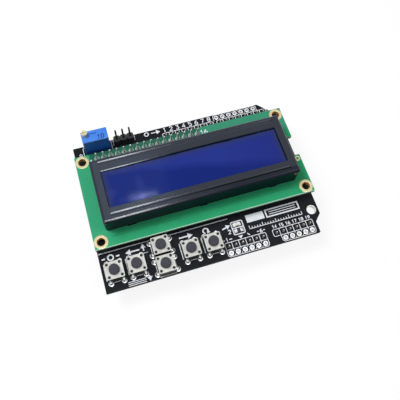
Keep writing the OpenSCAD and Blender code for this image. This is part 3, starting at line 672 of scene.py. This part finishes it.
class Ink(Build):
    """Thin marks on a face that looks up or down, in a few layers so that marks can cross."""

    def __init__(self, z, up=1, thick=INK_T):
        super().__init__()
        self.z = z
        self.up = up
        self.thick = thick
        self.marks = 0

    def heights(self):
        self.marks += 1
        reach = self.thick + LAYER_T * (self.marks % LAYERS)
        return sorted((self.z, self.z + self.up * reach))

    def line(self, points, width=LINE, closed=False):
        self.stroke(points, width, *self.heights(), closed, self.up * RISE)

    def fill(self, points):
        self.prism(points, *self.heights())

    def frame(self, x0, y0, x1, y1, width=LINE, cut=0.0):
        """Outline of a rectangle, with its corners cut if asked."""
        points = [(x0 + cut, y0), (x1 - cut, y0), (x1, y0 + cut), (x1, y1 - cut), (x1 - cut, y1),
                  (x0 + cut, y1), (x0, y1 - cut), (x0, y0 + cut)]
        self.line(points if cut else rectangle(x0, y0, x1, y1), width, closed=True)

    def number(self, value, x, y, height, width=MEDIUM):
        """A number about a middle, mirrored on a face that looks down."""
        word = str(value)
        scale = self.up * height
        left = x - scale * (LETTER_STEP * len(word) - LETTER_GAP) / 2
        for i, digit in enumerate(word):
            start = left + scale * LETTER_STEP * i
            self.line([(start + scale * u, y + height * (v - 0.5)) for u, v in DIGITS[digit]], width)

    def arrow(self, x, y, angle, length, head=SHORT_HEAD, width=HEAVY):
        """An arrow about its middle, turned from pointing right."""
        c = math.cos(math.radians(angle))
        s = math.sin(math.radians(angle))

        def at(along, across):
            return (x + along * c - across * s, y + along * s + across * c)
        tip = length / 2
        neck = tip - head
        self.line([at(-tip, 0), at(neck + head * HEAD_OVERLAP, 0)], width)
        self.fill([at(neck, -head * HEAD_HALF), at(tip, 0), at(neck, head * HEAD_HALF)])

    def ring(self, x, y, radius, width, start=0.0, end=360.0, count=28):
        """A ring, or a part of one between two angles."""
        closed = end - start >= 360
        points = []
        for i in range(count if closed else count + 1):
            turn = math.radians(start + (end - start) * i / count)
            points.append((x + radius * math.cos(turn), y + radius * math.sin(turn)))
        self.line(points, width, closed)


# White print on the shield's top

MARK_BEHIND = 5.3
MARK_R = 0.95
MARK_L = 5.0
MARK_HEAD = 1.8
BAR_OUT = 1.9
BAR_L = 1.2
OUTLINE_HALF = 3.38
OUTLINE_FRONT = 2.4
BETWEEN_LEGS = 1.15
FRONT_LINE_HALF = 2.9
NUMBER_OUT = 2.3
BACK_NUMBER_OUT = 2.6
FIRST_ANALOG = 14
EDGE_IN = 0.3


def print_switch_marks(ink):
    """A ring, four arrows and a turning arrow, one at each switch, and short lines beside the turned pair."""
    x, y = beside("select", -0.5, MARK_BEHIND)
    ink.ring(x, y, MARK_R, HEAVY)
    for start in (-BAR_OUT - BAR_L, BAR_OUT):
        ink.line([(x + start, y), (x + start + BAR_L, y)], HEAVY)
    ink.arrow(*beside("left", -0.4, MARK_BEHIND), angle=180, length=MARK_L, head=MARK_HEAD)
    ink.arrow(*beside("up", -6.0, 1.7), angle=90, length=2.6)
    ink.line([beside("up", -6.9, -0.4), beside("up", -4.8, -0.4)], FINE)
    ink.arrow(*beside("down", -6.3, -2.5), angle=270, length=2.0)
    for drop in (2.1, 2.7, 3.3):
        ink.line([beside("down", -13.8, -drop), beside("down", -7.6, -drop)])
    ink.arrow(*beside("right", -0.3, MARK_BEHIND), angle=0, length=MARK_L, head=MARK_HEAD)
    x, y = beside("reset", -1.0, MARK_BEHIND)
    ink.ring(x, y, MARK_R, HEAVY, start=-40, end=250)
    ink.fill([(x + 0.5, y + 0.1), (x + 0.3, y - 1.1), (x + 1.6, y - 0.7)])


def print_switch_outlines(ink):
    """Lines of the body outlines that show round the switches, and a short line at the front edge."""
    for name in SWITCH_AT:
        for out in (-OUTLINE_HALF, OUTLINE_HALF):
            ink.line([towards_legs(name, out, side) for side in (-BETWEEN_LEGS, BETWEEN_LEGS)])
    for name in ROW_SWITCHES:
        front_end = beside(name, -OUTLINE_HALF, -OUTLINE_FRONT)
        ink.line([front_end, beside(name, -OUTLINE_HALF, OUTLINE_HALF)], BOLD)
    x = SWITCH_AT["down"].x
    y = BOARD_LO.y + EDGE_IN
    ink.line([(x - FRONT_LINE_HALF, y), (x + FRONT_LINE_HALF, y)])


def print_pin_row(ink, pins):
    """A square round each plug pin."""
    y = pins[0][1]
    ink.frame(pins[0][0] - HALF_PITCH, y - HALF_PITCH, pins[-1][0] + HALF_PITCH, y + HALF_PITCH, cut=0.35)
    for x, _ in pins[1:]:
        ink.line([(x - HALF_PITCH, y - HALF_PITCH), (x - HALF_PITCH, y + HALF_PITCH)])


def print_spare_row(ink, pins, spare, out):
    """An outline with ticks round the spare pads beside a row of plug pins, to its front or back."""
    depth = 2.5
    corner = 0.6
    slant = 0.2
    short = 0.1
    tall = 0.75
    left = min(x for x, _ in spare) - HALF_PITCH
    right = max(x for x, _ in spare) + HALF_PITCH
    near = pins[0][1] + out * HALF_PITCH
    far = near + out * depth
    start = near - out * LINE / 4
    ink.line([(left, start), (left, far - out * corner), (left + corner, far), (right - corner, far),
              (right, far - out * corner), (right, start)])
    for i in range(1, len(spare)):
        x = left + i * PITCH
        ink.line([(x - slant, far - out * short), (x + slant, far - out * tall)], FINE)
        ink.line([(x - slant, near + out * tall), (x + slant, near + out * short)], FINE)


def print_pin_numbers(ink):
    """Plain numbers at the plug pins, with small marks between them."""
    wing_in = 0.8
    for i, (x, y) in enumerate(ANALOG):
        ink.number(FIRST_ANALOG + i, x, y + NUMBER_OUT, height=1.05, width=SMALL)
    for i, wing_out in ((0, 1.9), (5, 1.5)):
        x, y = POWER[i][0], POWER[i][1] + NUMBER_OUT
        ink.number(i + 1, x, y, height=1.2)
        for side in (-1, 1):
            ink.line([(x + side * wing_in, y), (x + side * wing_out, y)], BOLD)
    x, y = POWER[2][0], POWER[2][1] + NUMBER_OUT
    ink.fill([(x - 0.9, y + 0.3), (x, y - 0.8), (x + 0.9, y + 0.3)])
    ink.line([(x + 2.6, y + 0.4), (x + 3.3, y - 0.4)], BOLD)
    y = HIGH[0][1] + BACK_NUMBER_OUT
    for i, (x, _) in enumerate(HIGH):
        ink.number(i + 1, x, y, height=1.7)
    ink.arrow(HIGH[0][0] - 3.6, y, angle=0, length=3.6, width=BOLD)
    ink.ring(HIGH[0][0] - 7.2, y, radius=0.75, width=BOLD)


def print_write_on_fields(ink):
    """A white panel, a framed field with two lines and a short scale, in front of the display."""
    panel_left = LED.x + 3.88
    panel_right = panel_left + 6.7
    field_left = panel_right + 0.9
    field_right = field_left + 12.4
    back = LCD_LO.y - 0.9
    front = back - 2.85
    inset = 0.1
    margin = 1.1
    line_in = 1.0
    ink.fill(rectangle(panel_left, front, panel_right, back))
    ink.frame(field_left, front + inset, field_right, back - inset, HEAVY)
    for y in (front + line_in, back - line_in):
        ink.line([(field_left + margin, y), (field_right - margin, y)])
    scale_left = panel_left + 0.2
    scale_y = front - 2.35
    scale_count = 21
    ink.line([(scale_left, scale_y), (scale_left + scale_count - 1, scale_y)])
    for i in range(scale_count):
        tall = 1.2 if i % 5 == 0 else 0.7
        ink.line([(scale_left + i, scale_y), (scale_left + i, scale_y + tall)])


def print_led_frame(ink):
    """Frame round the power light and its resistor, with plain marks at its left."""
    left, right = LED.x - 1.95, LED.x + 2.2
    front, back = LED.y - 3.55, LED.y + 1.15
    split = LED.y - 1.15
    side_in = 0.5
    front_in = 0.4
    back_in = 0.35
    ink.frame(left, front, right, back, BOLD, cut=0.3)
    ink.line([(left, split), (right, split)], BOLD)
    for x in (left + side_in, right - side_in):
        ink.line([(x, front + front_in), (x, split - back_in)], FINE)
    ink.arrow(left - 2.0, LED.y - 0.1, angle=15, length=3.2)
    ink.number(2, left - 1.3, LED.y - 2.0, height=1.3)


def print_outlines_behind(ink):
    """Outline of the trimmer with its ring, and the ends of the jumper's outline."""
    left, right = TRIM_LO.x - 1.0, TRIM_HI.x + 0.5
    front, back = TRIM_LO.y - 0.25, TRIM_HI.y - 0.25
    corner = 0.7
    end_in = 0.2
    ink.line([(left + corner, back), (left, back - corner), (left, front + corner), (left + corner, front),
              (right, front), (right, back)])
    ink.ring(left - 1.2, TRIM_HI.y - 3.4, radius=0.45, width=LINE)
    for x in (STRIP_LO.x - EDGE_IN, STRIP_HI.x + EDGE_IN):
        ink.line([(x, STRIP_LO.y + end_in), (x, STRIP_HI.y - end_in)])


def make_shield_print():
    ink = Ink(Z_TOP)
    edge = LCD_LO.y - EDGE_IN
    ink.line([(BOARD_LO.x + 0.4, edge), (LED.x - 2.52, edge)], MEDIUM)
    print_switch_marks(ink)
    print_switch_outlines(ink)
    for pins in PLUG_ROWS:
        print_pin_row(ink, pins)
    print_spare_row(ink, POWER, SPARE_POWER, -1)
    print_spare_row(ink, ANALOG, SPARE_ANALOG, -1)
    print_spare_row(ink, LOW, SPARE_BACK, 1)
    print_pin_numbers(ink)
    print_write_on_fields(ink)
    print_led_frame(ink)
    print_outlines_behind(ink)
    ink.make("shield_print_top", ["white_ink"], "led_lens")


# Print on the display board, the trimmer and the underside

def make_lcd_print():
    """Numbers of the first and last pin."""
    ink = Ink(Z_LCD_TOP)
    x, y = LCD_PINS[-1]
    ink.number(len(LCD_PINS), x + 2.6, y + 0.2, height=1.7)
    x, y = LCD_PINS[0]
    ink.number(1, x - 2.2, y - 0.6, height=1.4)
    ink.make("lcd_print", ["white_ink"], "led_lens")


def make_trimmer_print():
    """A plain number and a line from the screw."""
    ink = Ink(TRIM_HI.z, thick=0.02)
    y = TRIM_HI.y - 1.5
    ink.number(10, TRIM_HI.x - 2.6, TRIM_LO.y + 1.3, height=1.5)
    ink.line([(TRIM_LO.x + 3.2, y), (TRIM_LO.x + 5.4, y)], MEDIUM)
    ink.make("trimmer_print", ["trimmer_ink"], "trimmer_seal")


def make_under_print():
    """Outlines of the headers and switches, and pin numbers where no other outline is near."""
    ink = Ink(Z_UNDER, up=-1)
    row_half = 1.55
    switch_half = 2.6
    for pins in (*PLUG_ROWS, LCD_PINS):
        y = pins[0][1]
        ink.frame(pins[0][0] - row_half, y - row_half, pins[-1][0] + row_half, y + row_half)
    clear_of_lcd = LCD_PINS[-1][0] + 2.5
    for pins in PLUG_ROWS:
        y = pins[0][1]
        inward = -math.copysign(BACK_NUMBER_OUT, y)
        for i, (x, _) in enumerate(pins):
            if y < 0 or x > clear_of_lcd:
                ink.number(i + 1, x, y + inward, height=1.2, width=LINE)
    for at in SWITCH_AT.values():
        ink.frame(at.x - switch_half, at.y - switch_half, at.x + switch_half, at.y + switch_half, cut=0.5)
    ink.make("shield_print_under", ["white_ink"], "led_lens")


# Copper tracks that show through the solder mask

TRACK_T = 0.018
TRACK_W = 0.3
WIDE_TRACK_W = 0.7
TRACK_STEP = 0.9
FAN_START = 4
BEND = 0.6
VIA_R = 0.34
VIA_W = 0.28
VIA_OUT = 0.5


def via(layer, x, y):
    layer.ring(x, y, VIA_R, VIA_W, count=16)


def make_top_tracks():
    """Tracks from the plug pins to under the display board, and one round each switch of the row."""
    aside = 1.2
    front_end = LCD_LO.y + 1.5
    back_end = LCD_HI.y - 4
    round_switch = [(LEG_SIDE, -LEG_OUT), (4.0, -1.9), (4.0, 3.2), (4.6, 3.8)]
    switch_via = (4.8, 4.0)
    layer = Ink(Z_TOP, thick=TRACK_T)
    for x, y in ANALOG + POWER:
        layer.line([(x, y + HALF_PITCH), (x, front_end)], TRACK_W)
    for x, y in HIGH + LOW:
        start = y - HALF_PITCH
        layer.line([(x, start), (x - aside, start - aside), (x - aside, back_end)], TRACK_W)
    for name in ROW_SWITCHES:
        layer.line([beside(name, *offset) for offset in round_switch], TRACK_W)
        via(layer, *beside(name, *switch_via))
    layer.make("tracks_top", ["masked_track"], "shield_laminate")


def track_to_via(layer, pin, inward, away, end):
    """A track that leaves a plug pin inward, turns left when it is far enough away, and ends at a via."""
    x, y = pin
    level = y + inward * away
    layer.line([(x, y + inward * FAN_START), (x, level - inward * BEND), (x - BEND, level), (end, level)],
               TRACK_W)
    via(layer, end - VIA_OUT, level)


def make_under_tracks():
    """Fans of tracks from three plug headers to vias, and tracks from the display's pins to the fourth."""
    front_away = 13
    front_end = BOARD_LO.x + 4
    back_away = 7
    back_end = LCD_PINS[-1][0] + 3
    from_display = (1.7, 1.8)
    from_plug = (1.75, 1.6)
    layer = Ink(Z_UNDER, up=-1, thick=TRACK_T)
    for i, pin in enumerate(POWER + ANALOG):
        track_to_via(layer, pin, 1, front_away + TRACK_STEP * i, front_end + TRACK_STEP * i)
    for (x0, y0), (x1, y1) in zip(LCD_PINS[-len(HIGH):], HIGH):
        start = [(x0, y0 + out) for out in from_display]
        layer.line(start + [(x1, y1 - out) for out in from_plug], TRACK_W)
    for i, pin in enumerate(LOW):
        track_to_via(layer, pin, -1, back_away + TRACK_STEP * (len(LOW) - i), back_end)
    layer.make("tracks_under", ["masked_track"], "shield_laminate")


def make_lcd_tracks():
    """Wide tracks from the pins to the bezel, and two groups of three along the front edge."""
    pin_gap = 0.8
    bezel_gap = 0.4
    front = LCD_LO.y + 3.4
    step = 0.7
    left_start = LCD_LO.x + 6.5
    left_bend = LCD_LO.x + 30
    slant = 1
    right_start = LCD_HI.x - 36
    right_end = LCD_HI.x - 7
    layer = Ink(Z_LCD_TOP, thick=TRACK_T)
    for x, y in LCD_PINS:
        layer.line([(x, y - pin_gap), (x, BEZEL_HI.y + bezel_gap)], WIDE_TRACK_W)
    for i in range(3):
        y = front + step * i
        bend = left_bend - 3 * i
        layer.line([(left_start + 2 * i, y), (bend, y), (bend + slant, y + slant)], TRACK_W)
        layer.line([(right_start + 4 * i, y), (right_end - i, y)], TRACK_W)
    layer.make("lcd_tracks", ["green_masked_track"], "lcd_laminate")


# Pads and solder

PIN_R = 0.34
TRIM_PIN_R = 0.27
LEG_R = 0.38
LEG_HOLE_R = 0.53
SPARE_R = 0.5
PAD_R = 0.9
PAD_T = 0.05
PAD_EASE = 0.05
BORE_T = 0.05
MOUNT_RING_W = 0.14
HOLLOW = 2.1
BROAD = 1.4
JOINT_SIDES = 20
PAD_SIDES = 32
HOLE_SIDES = 48
SOLDER_ANGLE = 60


def pad_profile(hole, outer, thick=PAD_T):
    """Flat ring whose upper edges are eased."""
    shoulder = thick * 0.6
    return [(hole, 0.0), (outer, 0.0), (outer, shoulder), (outer - PAD_EASE, thick), (hole + PAD_EASE, thick),
            (hole, shoulder)]


def joint_profile(pin, foot, height, hollow=HOLLOW):
    """Solder that climbs a pin, with a hollow flank."""
    edge = 0.04
    skin = 0.03
    steps = 8
    points = [(pin, 0.0), (foot, 0.0), (foot, edge)]
    for i in range(1, steps):
        climb = i / steps
        radius = foot + (pin + skin - foot) * (1 - (1 - climb) ** hollow)
        points.append((radius, edge + (height - edge) * climb ** (hollow - 0.2)))
    points.append((pin, height))
    return points


def tube(layer, at, radius, wall, low, high, count):
    layer.lathe(at, [(radius - wall, low), (radius, low), (radius, high), (radius - wall, high)], count)


def plated_hole(layer, at, radius, outer, count):
    """A pad on both faces of the shield and the plated bore between them."""
    for z, up in ((Z_TOP, 1), (Z_UNDER, -1)):
        layer.lathe(at, pad_profile(radius, outer), count, up, z)
    tube(layer, at, radius, BORE_T, Z_UNDER - PAD_T, Z_TOP + PAD_T, count)


def make_pads():
    """Spare pads, the ring of the mounting hole, and solder or pads round the switches' legs."""
    layer = Build()
    for at in SPARE:
        plated_hole(layer, at, SPARE_R, PAD_R, PAD_SIDES)
    plated_hole(layer, MOUNT_HOLE, MOUNT_HOLE_R, MOUNT_HOLE_R + MOUNT_RING_W, HOLE_SIDES)
    for at in SHOWN_LEGS:
        layer.lathe(at, joint_profile(LEG_HOLE_R, foot=0.92, height=0.3, hollow=BROAD), PAD_SIDES, z=Z_TOP)
    for at in HIDDEN_LEGS:
        layer.lathe(at, pad_profile(LEG_HOLE_R, outer=0.75), PAD_SIDES, z=Z_TOP)
    layer.make("spare_pads", ["tinned_pads"], "leg_metal", SOLDER_ANGLE)


def make_header_solder():
    """Low dull joints where the plug pins come through the shield."""
    layer = Build()
    for at in PLUG_PINS:
        layer.lathe(at, joint_profile(PIN_R, foot=0.52, height=0.45), JOINT_SIDES, z=Z_TOP)
    layer.make("header_solder", ["dull_solder"], "leg_metal", SOLDER_ANGLE)


def make_under_solder():
    """Joints under the shield, of the display's header, the jumper, the trimmer and the switches."""
    layer = Build()
    pin_joint = joint_profile(PIN_R, foot=0.92, height=1.0)
    trimmer_joint = joint_profile(TRIM_PIN_R, foot=0.85, height=0.95)
    leg_joint = joint_profile(LEG_R, foot=0.95, height=0.85)
    rows = ((LCD_PINS + JUMPER, pin_joint), (TRIM_PINS, trimmer_joint), (SHOWN_LEGS + HIDDEN_LEGS, leg_joint))
    for row, joint in rows:
        for at in row:
            layer.lathe(at, joint, JOINT_SIDES, up=-1, z=Z_UNDER)
    layer.make("solder_under", ["solder_joints"], "leg_metal", SOLDER_ANGLE)


def make_lcd_solder():
    """High joints on the display's pins, and flat pads under its board, in near-white solder that is partly
    painted highlight.
    """
    layer = Build()
    high_joint = joint_profile(PIN_R, foot=1.06, height=2.7, hollow=BROAD)
    for at in LCD_PINS:
        layer.lathe(at, high_joint, count=24, z=Z_LCD_TOP)
        layer.lathe(at, pad_profile(PIN_R, PAD_R), JOINT_SIDES, up=-1, z=Z_LCD)
    layer.make("lcd_solder", ["solder_painted_bright"], "leg_metal", SOLDER_ANGLE)


def make_hole_rings():
    """Gold rings and plated bores of the display board, and a small pad at its right edge."""
    ring_r = 2.46
    ring_t = 0.06
    proud = 0.04
    small_pad = (LCD_HI.x - 1.3, middle("lcd_board").y - 4.3)
    layer = Build()
    for at in LCD_HOLES:
        for z, up in ((Z_LCD_TOP, 1), (Z_LCD, -1)):
            layer.lathe(at, pad_profile(HOLE_R, ring_r, ring_t), HOLE_SIDES, up, z)
    layer.lathe(small_pad, pad_profile(hole=0.5, outer=1.0), PAD_SIDES, z=Z_LCD_TOP)
    layer.slot = 1
    for at in LCD_HOLES:
        tube(layer, at, HOLE_R, ring_t, Z_LCD - proud, Z_LCD_TOP + proud, HOLE_SIDES)
    layer.make("lcd_hole_rings", ["gold_plating", "plated_bore"], "screw_brass")


# Rolled edge at the back of the bezel's window

def make_bezel_lip():
    layer = Build()
    front = WINDOW_BACK - LIP_W
    foot = BEZEL_HI.z - LIP_H
    layer.bar(WINDOW_LEFT, WINDOW_RIGHT, [(WINDOW_BACK, BEZEL_HI.z), (WINDOW_BACK, foot), (front, foot),
                                          (front, BEZEL_HI.z - LIP_DROP)])
    layer.make("bezel_lip", ["bezel_paint"], "bezel_paint", angle=10)


# Metal ends of the chip parts, with the solder in front of them

CHIP_L = 2.0
CHIP_W = 1.25
CHIP_H = 0.55
CHIP_STEP = 5.0
RESISTOR_COUNT = 5
CAPACITOR_COUNT = 2
CAP_L = 0.38
CAP_T = 0.03
CAP_FOOT = 0.01
TOE_L = 0.42
TOE_H = 0.12


def chip_ends(layer, x, y):
    """A metal cap over each end of a chip, and a low block of solder in front of it."""
    for side in (-1, 1):
        inner = x + side * (CHIP_L / 2 - CAP_L)
        face = x + side * (CHIP_L / 2 + CAP_T)
        toe = face + side * TOE_L
        cap = (inner, face, CHIP_W / 2 + CAP_T, CAP_FOOT, CHIP_H + CAP_T)
        solder = (face, toe, CHIP_W / 2, 0.0, TOE_H)
        for start, end, half, low, high in (cap, solder):
            outline = rectangle(min(start, end), y - half, max(start, end), y + half)
            layer.prism(outline, Z_TOP + low, Z_TOP + high)


def make_chip_ends():
    layer = Build()
    resistors_lo, resistors_hi = box_mm("chip_resistors")
    capacitors_lo = box_mm("chip_capacitors")[0]
    chip_ends(layer, LED.x, LED.y)
    chip_ends(layer, LED.x, resistors_lo.y + CHIP_W / 2)
    for i in range(RESISTOR_COUNT):
        chip_ends(layer, resistors_lo.x + CHIP_L / 2 + CHIP_STEP * i, resistors_hi.y - CHIP_W / 2)
    for i in range(CAPACITOR_COUNT):
        chip_ends(layer, capacitors_lo.x + CHIP_L / 2 + CHIP_STEP * i, capacitors_lo.y + CHIP_W / 2)
    layer.make("chip_ends", ["tinned_pads"], "leg_metal")


make_shield_print()
make_lcd_print()
make_trimmer_print()
make_under_print()
make_top_tracks()
make_under_tracks()
make_lcd_tracks()
make_pads()
make_header_solder()
make_under_solder()
make_lcd_solder()
make_hole_rings()
make_bezel_lip()
make_chip_ends()


# Camera at the photo's viewing angle, for a square image

IMAGE_PX = 400
FOCAL_PX = 478.2
CENTRE_PX = (192.8, 186.97)
CAMERA_AT = Vector((-26.68, -63.96, 170.72)) * MM
CAMERA_TURN = Euler([math.radians(angle) for angle in (23.406, -1.965, -16.905)])


def make_camera():
    data = bpy.data.cameras.new("camera")
    data.sensor_width = 36.0
    data.lens = FOCAL_PX / IMAGE_PX * data.sensor_width
    data.shift_x = (IMAGE_PX / 2 - CENTRE_PX[0]) / IMAGE_PX
    data.shift_y = (CENTRE_PX[1] - IMAGE_PX / 2) / IMAGE_PX
    data.clip_start = 0.005
    data.clip_end = 20
    camera = bpy.data.objects.new("camera", data)
    camera.matrix_world = Matrix.LocRotScale(CAMERA_AT, CAMERA_TURN, None)
    scene.collection.objects.link(camera)
    scene.camera = camera


# Floor, backdrop and light, in metres

FLOOR_HALF = 3
FLOOR_SHADE = 0.15
FLOOR_GLOW = 0.87
FAR_GLOW = 0.96
GLOW_NEAR = 0.2
GLOW_FAR = 0.9
WORLD_FILL = 0.25


def seen_by_eye(tree):
    """1 for rays that show the background: straight, mirrored or through glass."""
    path = add_node(tree, "LightPath").outputs
    seen = path["Is Camera Ray"]
    for ray in ("Is Glossy Ray", "Is Transmission Ray"):
        seen = add_node(tree, "Math", {0: seen, 1: path[ray]}, operation="MAXIMUM").outputs["Value"]
    return seen


def make_world():
    """White where it is seen, a weak even light where it is not."""
    world = bpy.data.worlds.new("studio")
    world.use_nodes = True
    tree = world.node_tree
    levels = {"Value": seen_by_eye(tree), "To Min": WORLD_FILL, "To Max": 1.0}
    strength = add_node(tree, "MapRange", levels).outputs["Result"]
    back = tree.nodes["Background"]
    put(tree, WHITE, back.inputs["Color"])
    put(tree, strength, back.inputs["Strength"])
    scene.world = world


def floor_material():
    """Pale floor: a weak diffuse part keeps the shadow, and a white glow grows where the lamps are far."""
    material = bpy.data.materials.new("floor")
    material.use_nodes = True
    tree = material.node_tree
    tree.nodes.clear()
    diffuse = add_node(tree, "BsdfDiffuse", {"Color": (FLOOR_SHADE, FLOOR_SHADE, FLOOR_SHADE, 1)})
    place = add_node(tree, "TexCoord").outputs["Object"]
    away = add_node(tree, "VectorMath", {0: place}, operation="LENGTH").outputs["Value"]
    levels = {"Value": away, "From Min": GLOW_NEAR, "From Max": GLOW_FAR,
              "To Min": FLOOR_GLOW, "To Max": FAR_GLOW}
    glow = add_node(tree, "MapRange", levels).outputs["Result"]
    strength = add_node(tree, "Math", {0: seen_by_eye(tree), 1: glow}, operation="MULTIPLY")
    light = add_node(tree, "Emission", {"Color": WHITE, "Strength": strength.outputs["Value"]})
    both = add_node(tree, "AddShader", {0: diffuse.outputs["BSDF"], 1: light.outputs["Emission"]})
    add_node(tree, "OutputMaterial", {"Surface": both.outputs["Shader"]})
    return material


def make_floor():
    corners = rectangle(-FLOOR_HALF, -FLOOR_HALF, FLOOR_HALF, FLOOR_HALF)
    mesh = bpy.data.meshes.new("floor")
    mesh.from_pydata([(x, y, 0) for x, y in corners], [], [(0, 1, 2, 3)])
    mesh.materials.append(floor_material())
    floor = bpy.data.objects.new("floor", mesh)
    scene.collection.objects.link(floor)


def lamp(name, at, target, size, power, colour=(1.0, 1.0, 1.0)):
    """Rectangular lamp at a place, looking at a target."""
    data = bpy.data.lights.new(name, "AREA")
    data.shape = "RECTANGLE"
    data.color = colour
    data.size, data.size_y = size
    data.energy = power
    made = bpy.data.objects.new(name, data)
    made.location = at
    made.rotation_euler = (Vector(target) - Vector(at)).to_track_quat("-Z", "Y").to_euler()
    scene.collection.objects.link(made)
    return made


def make_lamps():
    """A key and a fill light the part, and a strip in front and two lamps behind make its highlights."""
    part = (0, 0, 0.01)
    display = (-0.02, 0, 0.02)
    key = lamp("key", (-0.22, 0.14, 0.46), part, size=(0.2, 0.2), power=1.9)
    key.visible_glossy = False
    lamp("fill", (0.34, -0.16, 0.5), part, size=(0.3, 0.3), power=0.55)
    strip = lamp("strip", (-0.02, -0.33, 0.62), display, size=(0.07, 0.75), power=4.2,
                 colour=(0.9, 0.93, 1.0))
    strip.visible_diffuse = False
    lamp("sky", (-0.03, 0.33, 0.76), display, size=(0.2, 0.22), power=0.12, colour=(0.55, 0.75, 1.0))
    lamp("window", (0.012, 0.279, 0.70), display, size=(0.05, 0.008), power=0.02, colour=(0.75, 0.88, 1.0))


make_camera()
make_world()
make_floor()
make_lamps()
